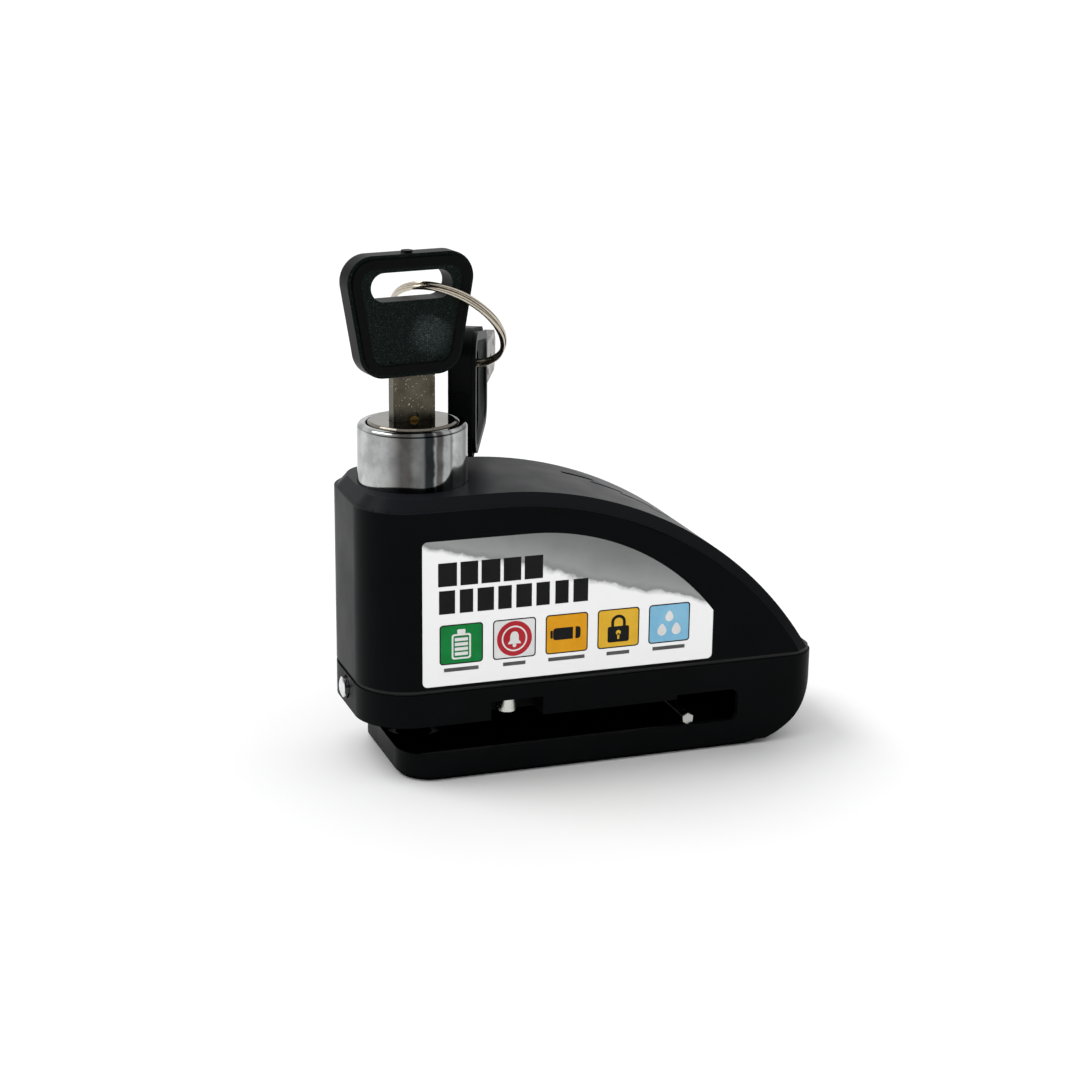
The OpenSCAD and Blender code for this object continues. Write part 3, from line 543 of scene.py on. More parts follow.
class LockSettings(bpy.types.PropertyGroup):
    """Sizes and colours of the dressed lock."""

    edge_round: bpy.props.FloatProperty(
        name="Edge rounding", description="Rounding of the housing's edges",
        subtype="DISTANCE", unit="LENGTH", default=0.42 * MM, min=0.05 * MM, max=1.0 * MM)
    cover_round: bpy.props.FloatProperty(
        name="Cover rounding", description="Rounding of the cover's upper edges",
        subtype="DISTANCE", unit="LENGTH", default=1.4 * MM, min=0.2 * MM, max=2.0 * MM)
    grip_round: bpy.props.FloatProperty(
        name="Grip rounding", description="Rounding of the key grips' edges",
        subtype="DISTANCE", unit="LENGTH", default=1.05 * MM, min=0.3 * MM, max=1.2 * MM)
    field_depth: bpy.props.FloatProperty(
        name="Field depth", description="Depth of the grained field in a grip",
        subtype="DISTANCE", unit="LENGTH", default=0.35 * MM, min=0.1 * MM, max=0.8 * MM)
    thumb_depth: bpy.props.FloatProperty(
        name="Thumb hollow", description="Depth of the hollow in a grip's field",
        subtype="DISTANCE", unit="LENGTH", default=0.75 * MM, min=0.0, max=1.2 * MM)
    tile_width: bpy.props.FloatProperty(
        name="Tile width", description="Width of a printed tile",
        subtype="DISTANCE", unit="LENGTH", default=8.6 * MM, min=4.0 * MM, max=10.0 * MM)
    tile_height: bpy.props.FloatProperty(
        name="Tile height", description="Height of a printed tile",
        subtype="DISTANCE", unit="LENGTH", default=7.9 * MM, min=4.0 * MM, max=9.0 * MM)
    tile_pitch: bpy.props.FloatProperty(
        name="Tile pitch", description="Step from tile to tile",
        subtype="DISTANCE", unit="LENGTH", default=10.55 * MM, min=9.0 * MM, max=11.0 * MM)
    spring_wire: bpy.props.FloatProperty(
        name="Spring wire", description="Wire diameter of the return spring",
        subtype="DISTANCE", unit="LENGTH", default=0.9 * MM, min=0.7 * MM, max=1.0 * MM)
    floor_colour: bpy.props.FloatVectorProperty(
        name="Floor", description="Colour of the studio floor", subtype="COLOR", size=4, min=0, max=1,
        default=colour("#fbfbfb"))
    sun_power: bpy.props.FloatProperty(
        name="High light", description="Strength of the soft light that gives the shadow",
        default=1.15, min=0.0)
    ceiling: bpy.props.FloatProperty(
        name="Ceiling", description="Brightness of the studio's ceiling", default=0.98, min=0.0)


# Half the floor's side, in metres: past the picture's top edge in a low view
FLOOR_HALF = 80.0
FLOOR_CELLS = 4
# The side that the high light comes from, and how wide it looks
HIGH_LIGHT_AT = Vector((-0.5, 0.3, 0.85))
HIGH_LIGHT_SPREAD = math.radians(32)
# The way in which the studio gets brighter, upwards and a little towards the backdrop, and its tones that way
BRIGHT_WAY = (0.0, 0.3, 1.0)
ROOM_TONES = ((0.12, "#3a3c3f"), (0.50, "#ffffff"))
# Between these heights (sine of the angle) the white band above the floor's end fades into the room
WHITE_BAND = (0.04, 0.07)

# The camera: where it looks, from which side and how far, and where that point lies in the picture
LOOK_AT = Vector((20, 0, 32.8)) * MM
CAMERA_AZIMUTH = math.radians(-18.66)
CAMERA_ELEVATION = math.radians(17.34)
CAMERA_ROLL = math.radians(0.45)
CAMERA_DISTANCE = 450 * MM
PX_PER_MM = 5.10
FOCAL_PX = PX_PER_MM * CAMERA_DISTANCE / MM
LOOK_PX = (511.1, 584.0)
PICTURE_PX = 1080
SENSOR_WIDTH_MM = 36
NEAREST_SEEN = 10 * MM


def lay_floor(settings):
    """The pale paper that the lock stands on."""
    bm = bmesh.new()
    bmesh.ops.create_grid(bm, x_segments=FLOOR_CELLS, y_segments=FLOOR_CELLS, size=FLOOR_HALF)
    floor = to_object("studio_floor", bm)
    paper = surface("pale_floor", {"Roughness": 0.7, "Base Color": settings.floor_colour})[0]
    floor.data.materials.append(paper)


def hang_high_light(scene, settings):
    """The soft light that gives the shadow."""
    data = bpy.data.lights.new("high_window", "SUN")
    data.energy = settings.sun_power
    data.angle = HIGH_LIGHT_SPREAD
    light = bpy.data.objects.new("high_window", data)
    light.rotation_euler = (LOOK_AT - HIGH_LIGHT_AT).to_track_quat("-Z", "Y").to_euler()
    scene.collection.objects.link(light)


def light_room(scene, settings):
    """A bright ceiling and backdrop in a dim room: they light the floor evenly and leave the front dark."""
    world = bpy.data.worlds.new("studio")
    world.use_nodes = True
    tree = world.node_tree
    around = add(tree, "ShaderNodeTexCoord").outputs["Generated"]
    way = add(tree, "ShaderNodeVectorMath", {1: BRIGHT_WAY}, {0: around}, operation="DOT_PRODUCT")
    room = add(tree, "ShaderNodeValToRGB", (), {"Fac": way.outputs["Value"]}, stops=ROOM_TONES)
    # A low white band where the floor ends, so that a low view shows no dark horizon
    height = add(tree, "ShaderNodeSeparateXYZ", (), {"Vector": around}).outputs["Z"]
    above = add(tree, "ShaderNodeMapRange", {"From Min": WHITE_BAND[0], "From Max": WHITE_BAND[1]},
                {"Value": height})
    studio = add(tree, "ShaderNodeMix", {"A": colour("#ffffff")},
                 {"Factor": above.outputs["Result"], "B": room.outputs["Color"]}, data_type="RGBA")
    background = tree.nodes["Background"]
    background.inputs["Strength"].default_value = settings.ceiling
    tree.links.new(studio.outputs["Result"], background.inputs["Color"])
    scene.world = world
    scene.view_settings.view_transform = "Standard"
    scene.view_settings.look = "None"


def place_camera(scene):
    """The camera that takes the photograph's view."""
    level = math.cos(CAMERA_ELEVATION)
    right = Vector((math.cos(CAMERA_AZIMUTH), math.sin(CAMERA_AZIMUTH), 0))
    back = Vector((right.y * level, -right.x * level, math.sin(CAMERA_ELEVATION)))
    turn = Matrix((right, back.cross(right), back)).transposed() @ Matrix.Rotation(CAMERA_ROLL, 3, "Z")
    data = bpy.data.cameras.new("camera")
    data.sensor_width = SENSOR_WIDTH_MM
    data.lens = FOCAL_PX / PICTURE_PX * SENSOR_WIDTH_MM
    data.shift_x = (PICTURE_PX / 2 - LOOK_PX[0]) / PICTURE_PX
    data.shift_y = (LOOK_PX[1] - PICTURE_PX / 2) / PICTURE_PX
    data.clip_start = NEAREST_SEEN
    camera = bpy.data.objects.new("camera", data)
    camera.matrix_world = Matrix.Translation(LOOK_AT + CAMERA_DISTANCE * back) @ turn.to_4x4()
    scene.collection.objects.link(camera)
    scene.camera = camera


class DISCLOCK_OT_stage(bpy.types.Operator):
    """Builds the pale floor, the studio lights and the camera"""

    bl_idname = "disclock.stage"
    bl_label = "Studio"

    def execute(self, context):
        settings = context.scene.disc_lock
        lay_floor(settings)
        hang_high_light(context.scene, settings)
        light_room(context.scene, settings)
        place_camera(context.scene)
        return {"FINISHED"}


# Angles in degrees between which an edge of the cover is a blunt upper one, and the height of its plain rim
UPPER_EDGE = (18, 66)
RIM_HEIGHT = 6 * MM


class DISCLOCK_OT_housing(bpy.types.Operator):
    """Finishes the casting, the alarm cover and the seal between them"""

    bl_idname = "disclock.housing"
    bl_label = "Housing"

    def execute(self, context):
        settings = context.scene.disc_lock
        rim_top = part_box("alarm_cover")[0][2] + RIM_HEIGHT

        # Only the cover's outer upper edges are blunt enough to be wide: not its slits, its wells or its rim
        def is_upper(at, turn):
            return float(UPPER_EDGE[0] < turn < UPPER_EDGE[1] and at.z > rim_top)

        soften("alarm_cover", "satin_powder_coat", settings.edge_round, settings.cover_round, is_upper)
        soften("lock_body", "coated_casting", settings.edge_round)
        coat("cover_seal", "moulded_nitrile")
        return {"FINISHED"}


# Rounding of a small machined edge
SMALL_ROUND = 0.15 * MM
SPRING_CURLS = 4.0
CURL_STEPS = 40
WIRE_SIDES = 12


def wind(tree, given):
    """Wire wound in even curls round the upright axis."""
    coil = add(tree, "GeometryNodeCurveSpiral", {"Resolution": CURL_STEPS},
               {"Rotations": given["Curls"], "Start Radius": given["Radius"], "End Radius": given["Radius"],
                "Height": given["Height"]})
    section = add(tree, "GeometryNodeCurvePrimitiveCircle", {"Resolution": WIRE_SIDES},
                  {"Radius": given["Wire radius"]})
    wire = add(tree, "GeometryNodeCurveToMesh", {"Fill Caps": True},
               {"Curve": coil.outputs["Curve"], "Profile Curve": section.outputs["Curve"]})
    return add(tree, "GeometryNodeTransform", (),
               {"Geometry": wire.outputs["Mesh"], "Translation": given["Foot"]})


def return_spring(wire):
    """The spring that lifts the cylinder, wound at the CAD part's height; the real one is squashed as the
    cylinder goes down.
    """
    low, high = (Vector(corner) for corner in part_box("return_spring"))
    spring = by_rule("wound_return_spring", (
        ("Curls", "NodeSocketFloat", SPRING_CURLS),
        ("Radius", "NodeSocketFloat", high.x - wire / 2),
        ("Height", "NodeSocketFloat", high.z - low.z - wire),
        ("Wire radius", "NodeSocketFloat", wire / 2),
        ("Foot", "NodeSocketVector", (0, 0, low.z + wire / 2))), wind, "spring_wire")
    spring.data.shade_smooth()
    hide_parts("return_spring")
    settle(spring, BODY_OF["return_spring"], None, SLOT_OF["return_spring"])
    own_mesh(spring)


class DISCLOCK_OT_hardware(bpy.types.Operator):
    """Finishes the screws, the stop pin and the steel pieces that lock, and winds the return spring"""

    bl_idname = "disclock.hardware"
    bl_label = "Hardware"

    def execute(self, context):
        soften("cover_screws", "zinc_plate", SMALL_ROUND)
        soften("stop_pin", "pin_with_painted_shade", SMALL_ROUND)
        coat("guide_screw", "bright_chrome")
        for node in ("keeper_screws", "board_screws"):
            coat(node, "zinc_plate")
        for node in ("keeper", "lock_pin", "switch_arm", "locking_cam"):
            coat(node, "ground_steel")
        return_spring(context.scene.disc_lock.spring_wire)
        return {"FINISHED"}


SLEEVE_ROUND = 0.30 * MM
PLUG_ROUND = 0.12 * MM


class DISCLOCK_OT_cylinder(bpy.types.Operator):
    """Finishes the chromed sleeve, the plug and the brass behind them"""

    bl_idname = "disclock.cylinder"
    bl_label = "Key cylinder"

    def execute(self, context):
        soften("cylinder_sleeve", "striped_chrome", SLEEVE_ROUND)
        soften("key_plug", "dark_mirror_chrome", PLUG_ROUND)
        coat("cylinder_barrel", "turned_brass")
        coat("plug_wafers", "turned_brass")
        return {"FINISHED"}


INNER_FINISHES = {
    "arming_switch": "moulded_abs", "switch_plunger": "moulded_acetal", "circuit_board": "solder_mask",
    "battery_tray": "moulded_abs", "button_cells": "drawn_can", "battery_contacts": "turned_brass",
    "siren": "moulded_abs", "motion_sensor": "drawn_can",
}


class DISCLOCK_OT_alarm(bpy.types.Operator):
    """Finishes the alarm's inner pieces"""

    bl_idname = "disclock.alarm"
    bl_label = "Alarm"

    def execute(self, context):
        for node, finish in INNER_FINISHES.items():
            coat(node, finish)
        return {"FINISHED"}


# The two keys: how the main blade stands round the upright axis, and which way the spare one hangs
KEY_TURN = math.radians(8)
SPARE_TURN = math.radians(-24)
GRIP_LENGTH = 23 * MM
# How far the main grip's middle stands beside the blade's
GRIP_SHIFT = -0.9 * MM
BLADE_THICKNESS = 2.2 * MM
# The border round a grip's field, the run of its inner wall, and the thumb hollow's place and half sizes
BORDER = 1.45 * MM
WALL_RUN = 0.3 * MM
HOLLOW_AT = (0.6 * MM, 6.9 * MM)
HOLLOW_HALF = (8.2 * MM, 5.2 * MM)
HOLLOW_RINGS = 10
FIELD_STEPS = 96
# The part of the hollow drawn paler as painted light: its middle beside the hollow's, and its half size
PAINTED_LIGHT_SHIFT = (3.4 * MM, 0.9 * MM)
PAINTED_LIGHT_HALF = 4.6 * MM
# Only corners inside this share of the hollow get the painted light
BOWL_EDGE = 0.999
# Share of the grip's rounding that the window's edges get, and the least angle of an edge that gets any
WINDOW_SHARE = 0.3
GRIP_EDGE_FROM = 60
GRIP_SEGMENTS = 4
# How near to a grip's face a point counts as on it, before and after the field is sunk
FACE_GAP = 0.01 * MM
EDGE_GAP = 0.02 * MM
# A face of the field looks this much along the way through the grip at least
FIELD_FACING = 0.9


class GripPlane:
    """Flat coordinates on a key grip: across it and along it from its blade end, with levels through it."""

    def __init__(self, start, across, along):
        self.start = start
        self.across = across
        self.along = along
        self.through = across.cross(along)

    def flat(self, at):
        """Where a point lies on the plane."""
        return Vector(((at - self.start).dot(self.across), (at - self.start).dot(self.along)))

    def level(self, at):
        """How far a point stands off the plane."""
        return (at - self.start).dot(self.through)

    def put(self, flat, level):
        """The point at a place on the plane and a level off it."""
        return self.start + self.across * flat.x + self.along * flat.y + self.through * level


def grip_plane(node):
    """The plane of a grip, at its blade end."""
    low, high = (Vector(corner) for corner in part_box(node))
    if node == "key_bow":
        across = Vector((math.cos(KEY_TURN), math.sin(KEY_TURN), 0))
        return GripPlane(Vector((0, 0, low.z)) + across * GRIP_SHIFT, across, Vector((0, 0, 1)))
    along = Vector((math.sin(SPARE_TURN), -math.cos(SPARE_TURN), 0))
    return GripPlane((low + high) / 2 - along * GRIP_LENGTH / 2, Vector((0, 0, 1)), along)


def inset(outline, depth):
    """A convex outline moved inwards."""
    moved = []
    for i, at in enumerate(outline):
        way = (outline[(i + 1) % len(outline)] - outline[i - 1]).normalized()
        moved.append(at + Vector((-way.y, way.x)) * depth)
    return moved


def sides(outline):
    """The two ends of each side of an outline."""
    return zip(outline, outline[1:] + outline[:1])


# Allowances for rounding: a side along a ray, a ray through a side's end, and a point on an outline
PARALLEL = 1e-15
END_SLACK = 1e-6
INSIDE_SLACK = 1e-12


def reach(outline, centre, way):
    """Where a ray from inside a convex outline leaves it."""
    for near, far in sides(outline):
        edge = far - near
        turn = way.x * edge.y - way.y * edge.x
        if abs(turn) > PARALLEL:
            length = ((near.x - centre.x) * edge.y - (near.y - centre.y) * edge.x) / turn
            share = ((near.x - centre.x) * way.y - (near.y - centre.y) * way.x) / turn
            if length > 0 and -END_SLACK <= share <= 1 + END_SLACK:
                return centre + way * length
    raise ValueError("the ray does not leave the outline")


def is_inside(outline, at):
    """Whether a point lies in a convex outline."""
    return all((far - near).cross(at - near) > -INSIDE_SLACK for near, far in sides(outline))


def field_cutter(plane, outline, side, face, depth, hollow):
    """A closed tool that sinks the grained field with its thumb hollow into one face of a grip."""
    centre = Vector(HOLLOW_AT)
    ways = [Vector((math.cos(angle), math.sin(angle)))
            for angle in (2 * math.pi * k / FIELD_STEPS for k in range(FIELD_STEPS))]
    rings = []
    for run, level in ((BORDER - WALL_RUN, face + depth), (BORDER + WALL_RUN, face - depth)):
        edge = inset(outline, run)
        rings.append([(reach(edge, centre, way), level) for way in ways])
    for i in range(HOLLOW_RINGS):
        part = 1 - i / HOLLOW_RINGS
        level = face - depth - hollow * (1 - part * part)
        rings.append([(centre + Vector((way.x * HOLLOW_HALF[0], way.y * HOLLOW_HALF[1])) * part, level)
                      for way in ways])
    bm = bmesh.new()
    loops = [[bm.verts.new(plane.put(at, side * level)) for at, level in ring] for ring in rings]
    skin(bm, loops)
    bm.faces.new(loops[0])
    tip = bm.verts.new(plane.put(centre, side * (face - depth - hollow)))
    for near, far in sides(loops[-1]):
        bm.faces.new((near, far, tip))
    bmesh.ops.recalc_face_normals(bm, faces=bm.faces)
    return to_object("field_cutter", bm)


def sink_fields(made, plane, outline, half, depth, hollow):
    """Sinks the grained field into both faces of a grip."""
    cutters = []
    for side in (1, -1):
        cutters.append(field_cutter(plane, outline, side, half, depth, hollow))
        sink = made.modifiers.new("Field", "BOOLEAN")
        sink.operation = "DIFFERENCE"
        sink.solver = "EXACT"
        sink.object = cutters[-1]
    flatten(made)
    for cutter in cutters:
        bpy.data.objects.remove(cutter)


def round_grip(made, plane, border, half, depth, width):
    """Rounds a grip's outer edges, and its window's edges less."""
    def weight_of(at, turn):
        if turn < GRIP_EDGE_FROM:
            return 0.0
        level = abs(plane.level(at))
        if is_inside(border, plane.flat(at)):
            return WINDOW_SHARE if level > half - depth * 2 else 0.0
        return 1.0 if level > half - EDGE_GAP else 0.0

    bm = bmesh.new()
    bm.from_mesh(made.data)
    weigh(bm, weight_of)
    bm.to_mesh(made.data)
    bm.free()
    made.data.shade_smooth()
    made.data.set_sharp_from_angle(angle=HARD_EDGE)
    rounding(made, width, GRIP_SEGMENTS)
    even_light(made)
    flatten(made)


def mark_field(mesh, plane, border, half, depth):
    """Marks the faces of the sunk field for the finish, and how much painted light each corner of the hollow
    gets.
    """
    field = mesh.attributes.new("field", "FLOAT", "FACE")
    painted_light = mesh.attributes.new("painted_light", "FLOAT", "POINT")
    for face in mesh.polygons:
        sunk = abs(plane.level(face.center)) < half - depth / 2
        facing = abs(face.normal.dot(plane.through)) > FIELD_FACING
        field.data[face.index].value = float(sunk and facing and is_inside(border, plane.flat(face.center)))
    centre = Vector(HOLLOW_AT)
    # Painted light: paler towards a point right of the hollow's middle, where light falls on its wall
    lit_wall = centre + Vector(PAINTED_LIGHT_SHIFT)
    for vertex in mesh.vertices:
        flat = plane.flat(vertex.co)
        near = max(1 - ((flat - lit_wall).length / PAINTED_LIGHT_HALF) ** 2, 0)
        bowl = flat - centre
        in_bowl = (bowl.x / HOLLOW_HALF[0]) ** 2 + (bowl.y / HOLLOW_HALF[1]) ** 2 < BOWL_EDGE
        painted_light.data[vertex.index].value = near * in_bowl


def dressed_grip(node, settings):
    """A key's moulded grip: round edges, and a sunk grained field with a thumb hollow on both faces."""
    plane = grip_plane(node)
    bm = merged(node)
    levels = [plane.level(v.co) for v in bm.verts]
    half = (max(levels) - min(levels)) / 2
    plane.start = plane.start + plane.through * ((max(levels) + min(levels)) / 2)
    on_face = [plane.flat(v.co) for v in bm.verts if abs(plane.level(v.co) - half) < FACE_GAP]
    outline = [on_face[i] for i in convex_hull_2d(on_face)]
    if sum(near.x * far.y - near.y * far.x for near, far in sides(outline)) < 0:
        outline.reverse()
    made = to_object(node + "_finished", bm)
    border = inset(outline, BORDER)
    sink_fields(made, plane, outline, half, settings.field_depth, settings.thumb_depth)
    round_grip(made, plane, border, half, settings.field_depth, settings.grip_round)
    mark_field(made.data, plane, border, half, settings.field_depth)
    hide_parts(node)
    return settle(made, BODY_OF[node], "moulded_grip", SLOT_OF[node])


# The brass dimple that shows at the foot of the blade: its half sizes across, outwards and up, and its steps
DIMPLE_HALF = (0.95 * MM, 0.14 * MM, 0.80 * MM)
DIMPLE_STEPS = (24, 12)


def brass_dimple():
    """The dull brass dimple in the main blade, half sunk in it at the plug's face."""
    out = Vector((math.sin(KEY_TURN), -math.cos(KEY_TURN), 0))
    middle = out * BLADE_THICKNESS / 2 + Vector((0, 0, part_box("key_plug")[1][2]))
    shape = Matrix.Rotation(KEY_TURN, 4, "Z") @ Matrix.Diagonal((*DIMPLE_HALF, 1.0))
    bm = bmesh.new()
    bmesh.ops.create_uvsphere(bm, u_segments=DIMPLE_STEPS[0], v_segments=DIMPLE_STEPS[1], radius=1.0,
                              matrix=Matrix.Translation(middle) @ shape)
    return settle(to_object("brass_dimple_in_blade", bm), "key", "tarnished_brass", "barrel_brass")


class DISCLOCK_OT_keys(bpy.types.Operator):
    """Finishes both keys: rolled blades and moulded grips"""

    bl_idname = "disclock.keys"
    bl_label = "Keys"

    def execute(self, context):
        for node in ("key_blade", "spare_key_blade"):
            soften(node, "rolled_blade", SMALL_ROUND)
        for node in ("key_bow", "spare_key_bow"):
            dressed_grip(node, context.scene.disc_lock)
        brass_dimple()
        return {"FINISHED"}


# The split ring's flattened wire: half its height and thickness, how much its flats are drawn in, and from
# which cosine on a corner is on the inner or outer flat
RING_HALF_HEIGHT = 0.47 * MM
RING_HALF_THICK = 0.48 * MM
RING_FLAT = 0.96
RING_FLAT_FROM = 0.9
RING_TURNS = 1.96
RING_STEPS = 260
RING_SIDES = 12
# Where along the wire one turn crosses over to the other, and how long that takes, as shares of the wire
CROSS_FROM = 0.46
CROSS_RUN = 0.08
RING_HARD_EDGE = math.radians(50)


def wire_section(middle, out, axis):
    """Corners of the flattened wire round one point of the ring."""
    corners = []
    for k in range(RING_SIDES):
        angle = 2 * math.pi * k / RING_SIDES
        flat = 1 if abs(math.cos(angle)) < RING_FLAT_FROM else RING_FLAT
        corners.append(middle + out * RING_HALF_THICK * math.cos(angle) * flat
                       + axis * RING_HALF_HEIGHT * RING_FLAT * math.sin(angle))
    return corners


class DISCLOCK_OT_ring(bpy.types.Operator):
    """Winds the split ring: two turns of flattened wire that cross over once"""

    bl_idname = "disclock.ring"
    bl_label = "Split ring"

    def execute(self, context):
        points = np.array([v.co for v in frame["nodes"]["key_ring"].data.vertices])
        ways = np.linalg.svd(points - points.mean(axis=0), full_matrices=False)[2]
        offsets = points - (points.min(axis=0) + points.max(axis=0)) / 2
        radius = np.linalg.norm(offsets - np.outer(offsets @ ways[2], ways[2]), axis=1).mean()
        centre = Vector((points.min(axis=0) + points.max(axis=0)) / 2)
        one, two, axis = (Vector(way) for way in ways)
        bm = bmesh.new()
        loops = []
        for i in range(RING_STEPS + 1):
            share = i / RING_STEPS
            angle = RING_TURNS * 2 * math.pi * share
            out = one * math.cos(angle) + two * math.sin(angle)
            rise = min(max((share - CROSS_FROM) / CROSS_RUN, 0), 1)
            level = (rise * rise * (3 - 2 * rise) * 2 - 1) * RING_HALF_HEIGHT
            middle = centre + out * radius + axis * level
            loops.append([bm.verts.new(corner) for corner in wire_section(middle, out, axis)])
        skin(bm, loops)
        bm.faces.new(loops[0][::-1])
        bm.faces.new(loops[-1])
        bmesh.ops.recalc_face_normals(bm, faces=bm.faces)
        ring = to_object("split_ring", bm, RING_HARD_EDGE)
        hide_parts("key_ring")
        settle(ring, BODY_OF["key_ring"], "nickel_plate", SLOT_OF["key_ring"])
        return {"FINISHED"}


# Steps in the round outlines of the label's print
CORNER_STEPS = 6
DISC_STEPS = 40
DROP_STEPS = 28
# A water drop's upper half is longer than its radius, and is drawn in towards its point
DROP_LIFT = 1.55
DROP_PINCH = 0.42
DROP_POINT = 1.5
# One half of a bell without its clapper, from its rim up, as shares of its size
BELL_HALF = ((0.62, -0.55), (0.58, -0.42), (0.42, -0.22), (0.40, 0.25), (0.30, 0.50), (0.12, 0.62))


def rounded(x, z, width, height, corner):
    """Outline of a rectangle with round corners, anticlockwise, in millimetres."""
    outline = []
    for side, end, start in ((1, -1, -90), (1, 1, 0), (-1, 1, 90), (-1, -1, 180)):
        for k in range(CORNER_STEPS + 1):
            angle = math.radians(start + 90 * k / CORNER_STEPS)
            outline.append((x + side * (width / 2 - corner) + corner * math.cos(angle),
                            z + end * (height / 2 - corner) + corner * math.sin(angle)))
    return outline


def disc(x, z, radius):
    """Outline of a disc, in millimetres."""
    return [(x + radius * math.cos(angle), z + radius * math.sin(angle))
            for angle in (2 * math.pi * k / DISC_STEPS for k in range(DISC_STEPS))]


def drop(x, z, radius):
    """Outline of a water drop with its point up, in millimetres."""
    outline = []
    for k in range(DROP_STEPS):
        angle = 2 * math.pi * k / DROP_STEPS - math.pi / 2
        lift = DROP_LIFT if math.sin(angle) > 0 else 1.0
        pinch = 1 - DROP_PINCH * max(math.sin(angle), 0) ** DROP_POINT
        outline.append((x + radius * math.cos(angle) * pinch, z + radius * math.sin(angle) * lift))
    return outline


def bell(x, z, size):
    """Outline of a bell without its clapper, in millimetres."""
    right = [(x + size * across, z + size * up) for across, up in BELL_HALF]
    left = [(x - size * across, z + size * up) for across, up in reversed(BELL_HALF)]
    return right + left


# The label's tiles from the left: the first one's middle along the lock, the height of their middles over the
# film's foot, their corners and their dark lines, in millimetres
TILES = ("green", "white", "orange", "yellow", "blue")
TILE_START = 4.6
TILE_LIFT = 8.1
TILE_CORNER = 0.7
TILE_LINE = 0.25
TILE_INNER_CORNER = 0.5
# The sign on each tile, from its lowest layer of ink up: a piece's name, its ink and its shapes
SIGNS = (
    (("battery_sign", "white", (rounded(0, -0.5, 3.8, 5.0, 0.5), rounded(0, 2.45, 1.6, 0.9, 0.2))),
     ("battery_inside", "green", (rounded(0, -0.5, 3.1, 4.3, 0.3),)),
     ("battery_charge", "white", [rounded(0, -1.95 + 0.95 * bar, 2.6, 0.65, 0.1) for bar in range(4)])),
    (("bell_ground", "red", (disc(0, 0, 3.5),)),
     ("bell_ring", "white", (disc(0, 0, 2.55),)),
     ("bell_field", "red", (disc(0, 0, 2.25),)),
     ("bell_sign", "white", (bell(0, 0.1, 2.1), disc(0, -1.35, 0.38)))),
    (("pin_sign", "black", (rounded(0, 0, 5.6, 2.4, 0.6), rounded(-3.1, 0, 0.5, 1.6, 0.2))),
     ("pin_groove", "orange", (rounded(1.5, 0, 0.5, 2.4, 0.05),))),
    (("padlock_hoop", "black", (rounded(0, 0.7, 3.0, 4.0, 1.45),)),
     ("padlock_gap", "yellow", (rounded(0, 0.7, 1.8, 2.8, 0.85),)),
     ("padlock_body", "black", (rounded(0, -1.2, 4.4, 3.2, 0.4),)),
     ("padlock_keyhole", "yellow", (disc(0, -0.9, 0.5), rounded(0, -1.6, 0.4, 1.2, 0.1)))),
    (("water_drops", "white", (drop(0, 1.2, 0.85), drop(-1.5, -1.5, 0.95), drop(1.5, -1.5, 0.95))),),
)
# Layers of ink: the tiles' lines, their grounds, and the first layer of the signs
LINE_LAYER = 1
GROUND_LAYER = 2
SIGN_LAYER = 3
# How far each layer stands off the one below it, and how deep all are sunk in the film
INK_STEP = 0.003 * MM
INK_SINK = 0.03 * MM
# Rows of plain bars, in millimetres: the first bar's middle along the lock and over the film's foot, how many
# bars there are, their pitch, their width and height, and the least share of that width
CAPTIONS = {"lift": 3.1, "size": (8.0, 0.75), "least": 0.5}
UPPER_ROW = {"start": 1.9, "lift": 21.9, "count": 5, "pitch": 4.25, "size": (3.8, 4.6), "least": 0.9}
LOWER_ROW = {"start": 1.8, "lift": 16.5, "count": 8, "pitch": 3.8, "size": (3.4, 4.6), "least": 0.75}
BAR_SEED = 4


def print_on(name, shapes, finish, layer, front, middle=(0, 0)):
    """Prints flat shapes round a point of the label, each a thin closed plate sunk in the film."""
    bm = bmesh.new()
    for shape in shapes:
        places = [((middle[0] + x) * MM, (middle[1] + z) * MM) for x, z in shape]
        outer = [bm.verts.new((x, front - layer * INK_STEP, z)) for x, z in places]
        inner = [bm.verts.new((x, front + INK_SINK, z)) for x, z in places]
        bm.faces.new(outer)
        bm.faces.new(inner[::-1])
        skin(bm, (outer, inner))
    bmesh.ops.recalc_face_normals(bm, faces=bm.faces)
    return settle(to_object(name, bm), "body", finish, "label_film")


def lay_bars(tree, given):
    """Bars in a row, with widths from a fixed seed."""
    line = add(tree, "GeometryNodeMeshLine", (),
               {"Count": given["Count"], "Start Location": given["Start"], "Offset": given["Pitch"]})
    bar = add(tree, "GeometryNodeMeshCube", (), {"Size": given["Bar size"]})
    # Inputs 2 and 3 are the least and the greatest value
    width = add(tree, "FunctionNodeRandomValue", {3: 1.0, "Seed": BAR_SEED}, {2: given["Least width"]},
                data_type="FLOAT")
    scale = add(tree, "ShaderNodeCombineXYZ", {"Y": 1.0, "Z": 1.0}, {"X": width.outputs[1]})
    return add(tree, "GeometryNodeInstanceOnPoints", (),
               {"Points": line.outputs["Mesh"], "Instance": bar.outputs["Mesh"],
                "Scale": scale.outputs["Vector"]})


def printed_row(name, finish, front, foot, start, lift, count, pitch, size, least):
    """A row of printed bars, in millimetres from the lock's axis and over the film's foot."""
    first = (start * MM, front + INK_SINK - INK_STEP, (foot + lift) * MM)
    made = by_rule(name, (
        ("Count", "NodeSocketInt", count),
        ("Start", "NodeSocketVector", first),
        ("Pitch", "NodeSocketVector", (pitch * MM, 0, 0)),
        ("Bar size", "NodeSocketVector", (size[0] * MM, 2 * INK_SINK, size[1] * MM)),
        ("Least width", "NodeSocketFloat", least)), lay_bars, finish)
    return settle(made, "body", None, "label_film")


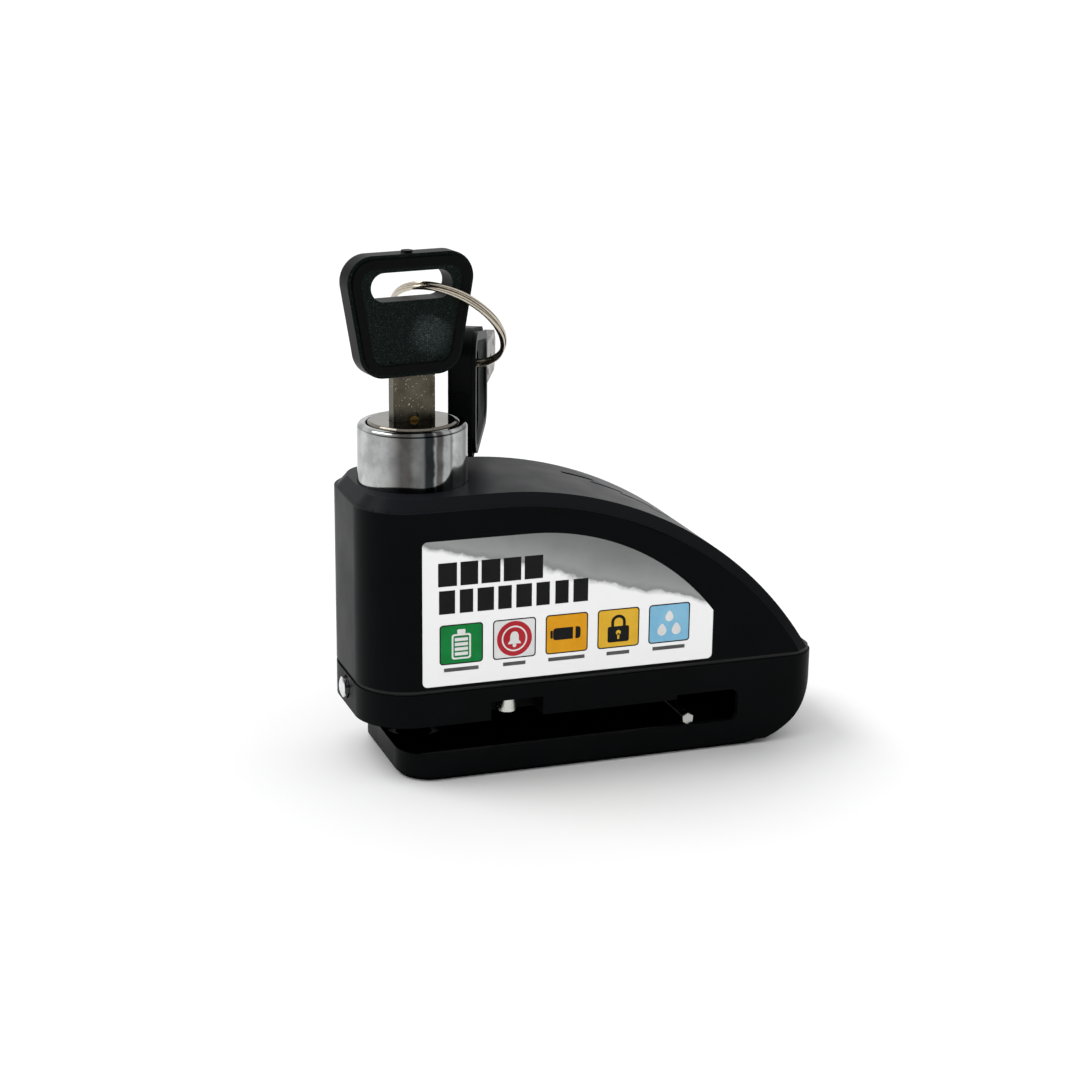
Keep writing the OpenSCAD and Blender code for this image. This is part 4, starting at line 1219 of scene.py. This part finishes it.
class DISCLOCK_OT_label(bpy.types.Operator):
    """Finishes the film label and prints its plain motifs"""

    bl_idname = "disclock.label"
    bl_label = "Label"

    def execute(self, context):
        settings = context.scene.disc_lock
        coat("side_label", "label_film")
        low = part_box("side_label")[0]
        front, foot = low[1], low[2] / MM
        width, height = settings.tile_width / MM, settings.tile_height / MM
        pitch = settings.tile_pitch / MM
        middles = [(TILE_START + pitch * i, foot + TILE_LIFT) for i in range(len(TILES))]
        print_on("tile_borders", [rounded(x, z, width, height, TILE_CORNER) for x, z in middles], "black_ink",
                 LINE_LAYER, front)
        ground = rounded(0, 0, width - 2 * TILE_LINE, height - 2 * TILE_LINE, TILE_INNER_CORNER)
        for middle, tone in zip(middles, TILES):
            print_on(f"tile_{tone}", [ground], f"{tone}_ink", GROUND_LAYER, front, middle)
        for middle, sign in zip(middles, SIGNS):
            for layer, (name, tone, shapes) in enumerate(sign, SIGN_LAYER):
                print_on(name, shapes, f"{tone}_ink", layer, front, middle)
        printed_row("caption_bars", "grey_ink", front, foot, TILE_START, count=len(TILES), pitch=pitch,
                    **CAPTIONS)
        printed_row("heading_upper", "black_ink", front, foot, **UPPER_ROW)
        printed_row("heading_lower", "black_ink", front, foot, **LOWER_ROW)
        return {"FINISHED"}


class DISCLOCK_PT_panel(bpy.types.Panel):
    """Shows the lock's settings and its building steps in the sidebar"""

    bl_idname = "DISCLOCK_PT_panel"
    bl_label = "Disc lock"
    bl_space_type = "VIEW_3D"
    bl_region_type = "UI"
    bl_category = "Disc lock"

    def draw(self, context):
        settings = context.scene.disc_lock
        for name in settings.__annotations__:
            self.layout.prop(settings, name)
        for operator in OPERATORS:
            self.layout.operator(operator.bl_idname)


OPERATORS = (DISCLOCK_OT_stage, DISCLOCK_OT_housing, DISCLOCK_OT_hardware, DISCLOCK_OT_cylinder,
             DISCLOCK_OT_alarm, DISCLOCK_OT_keys, DISCLOCK_OT_ring, DISCLOCK_OT_label)
CLASSES = (LockSettings,) + OPERATORS + (DISCLOCK_PT_panel,)


def register():
    """Registers the classes and the scene's settings."""
    for made in CLASSES:
        bpy.utils.register_class(made)
    bpy.types.Scene.disc_lock = bpy.props.PointerProperty(type=LockSettings)


def unregister():
    """Takes the settings and the classes away again."""
    del bpy.types.Scene.disc_lock
    for made in reversed(CLASSES):
        bpy.utils.unregister_class(made)


def main():
    """Builds the dressed lock."""
    register()
    for operator in OPERATORS:
        group, name = operator.bl_idname.split(".")
        getattr(getattr(bpy.ops, group), name)()


if __name__ == "__main__":
    main()
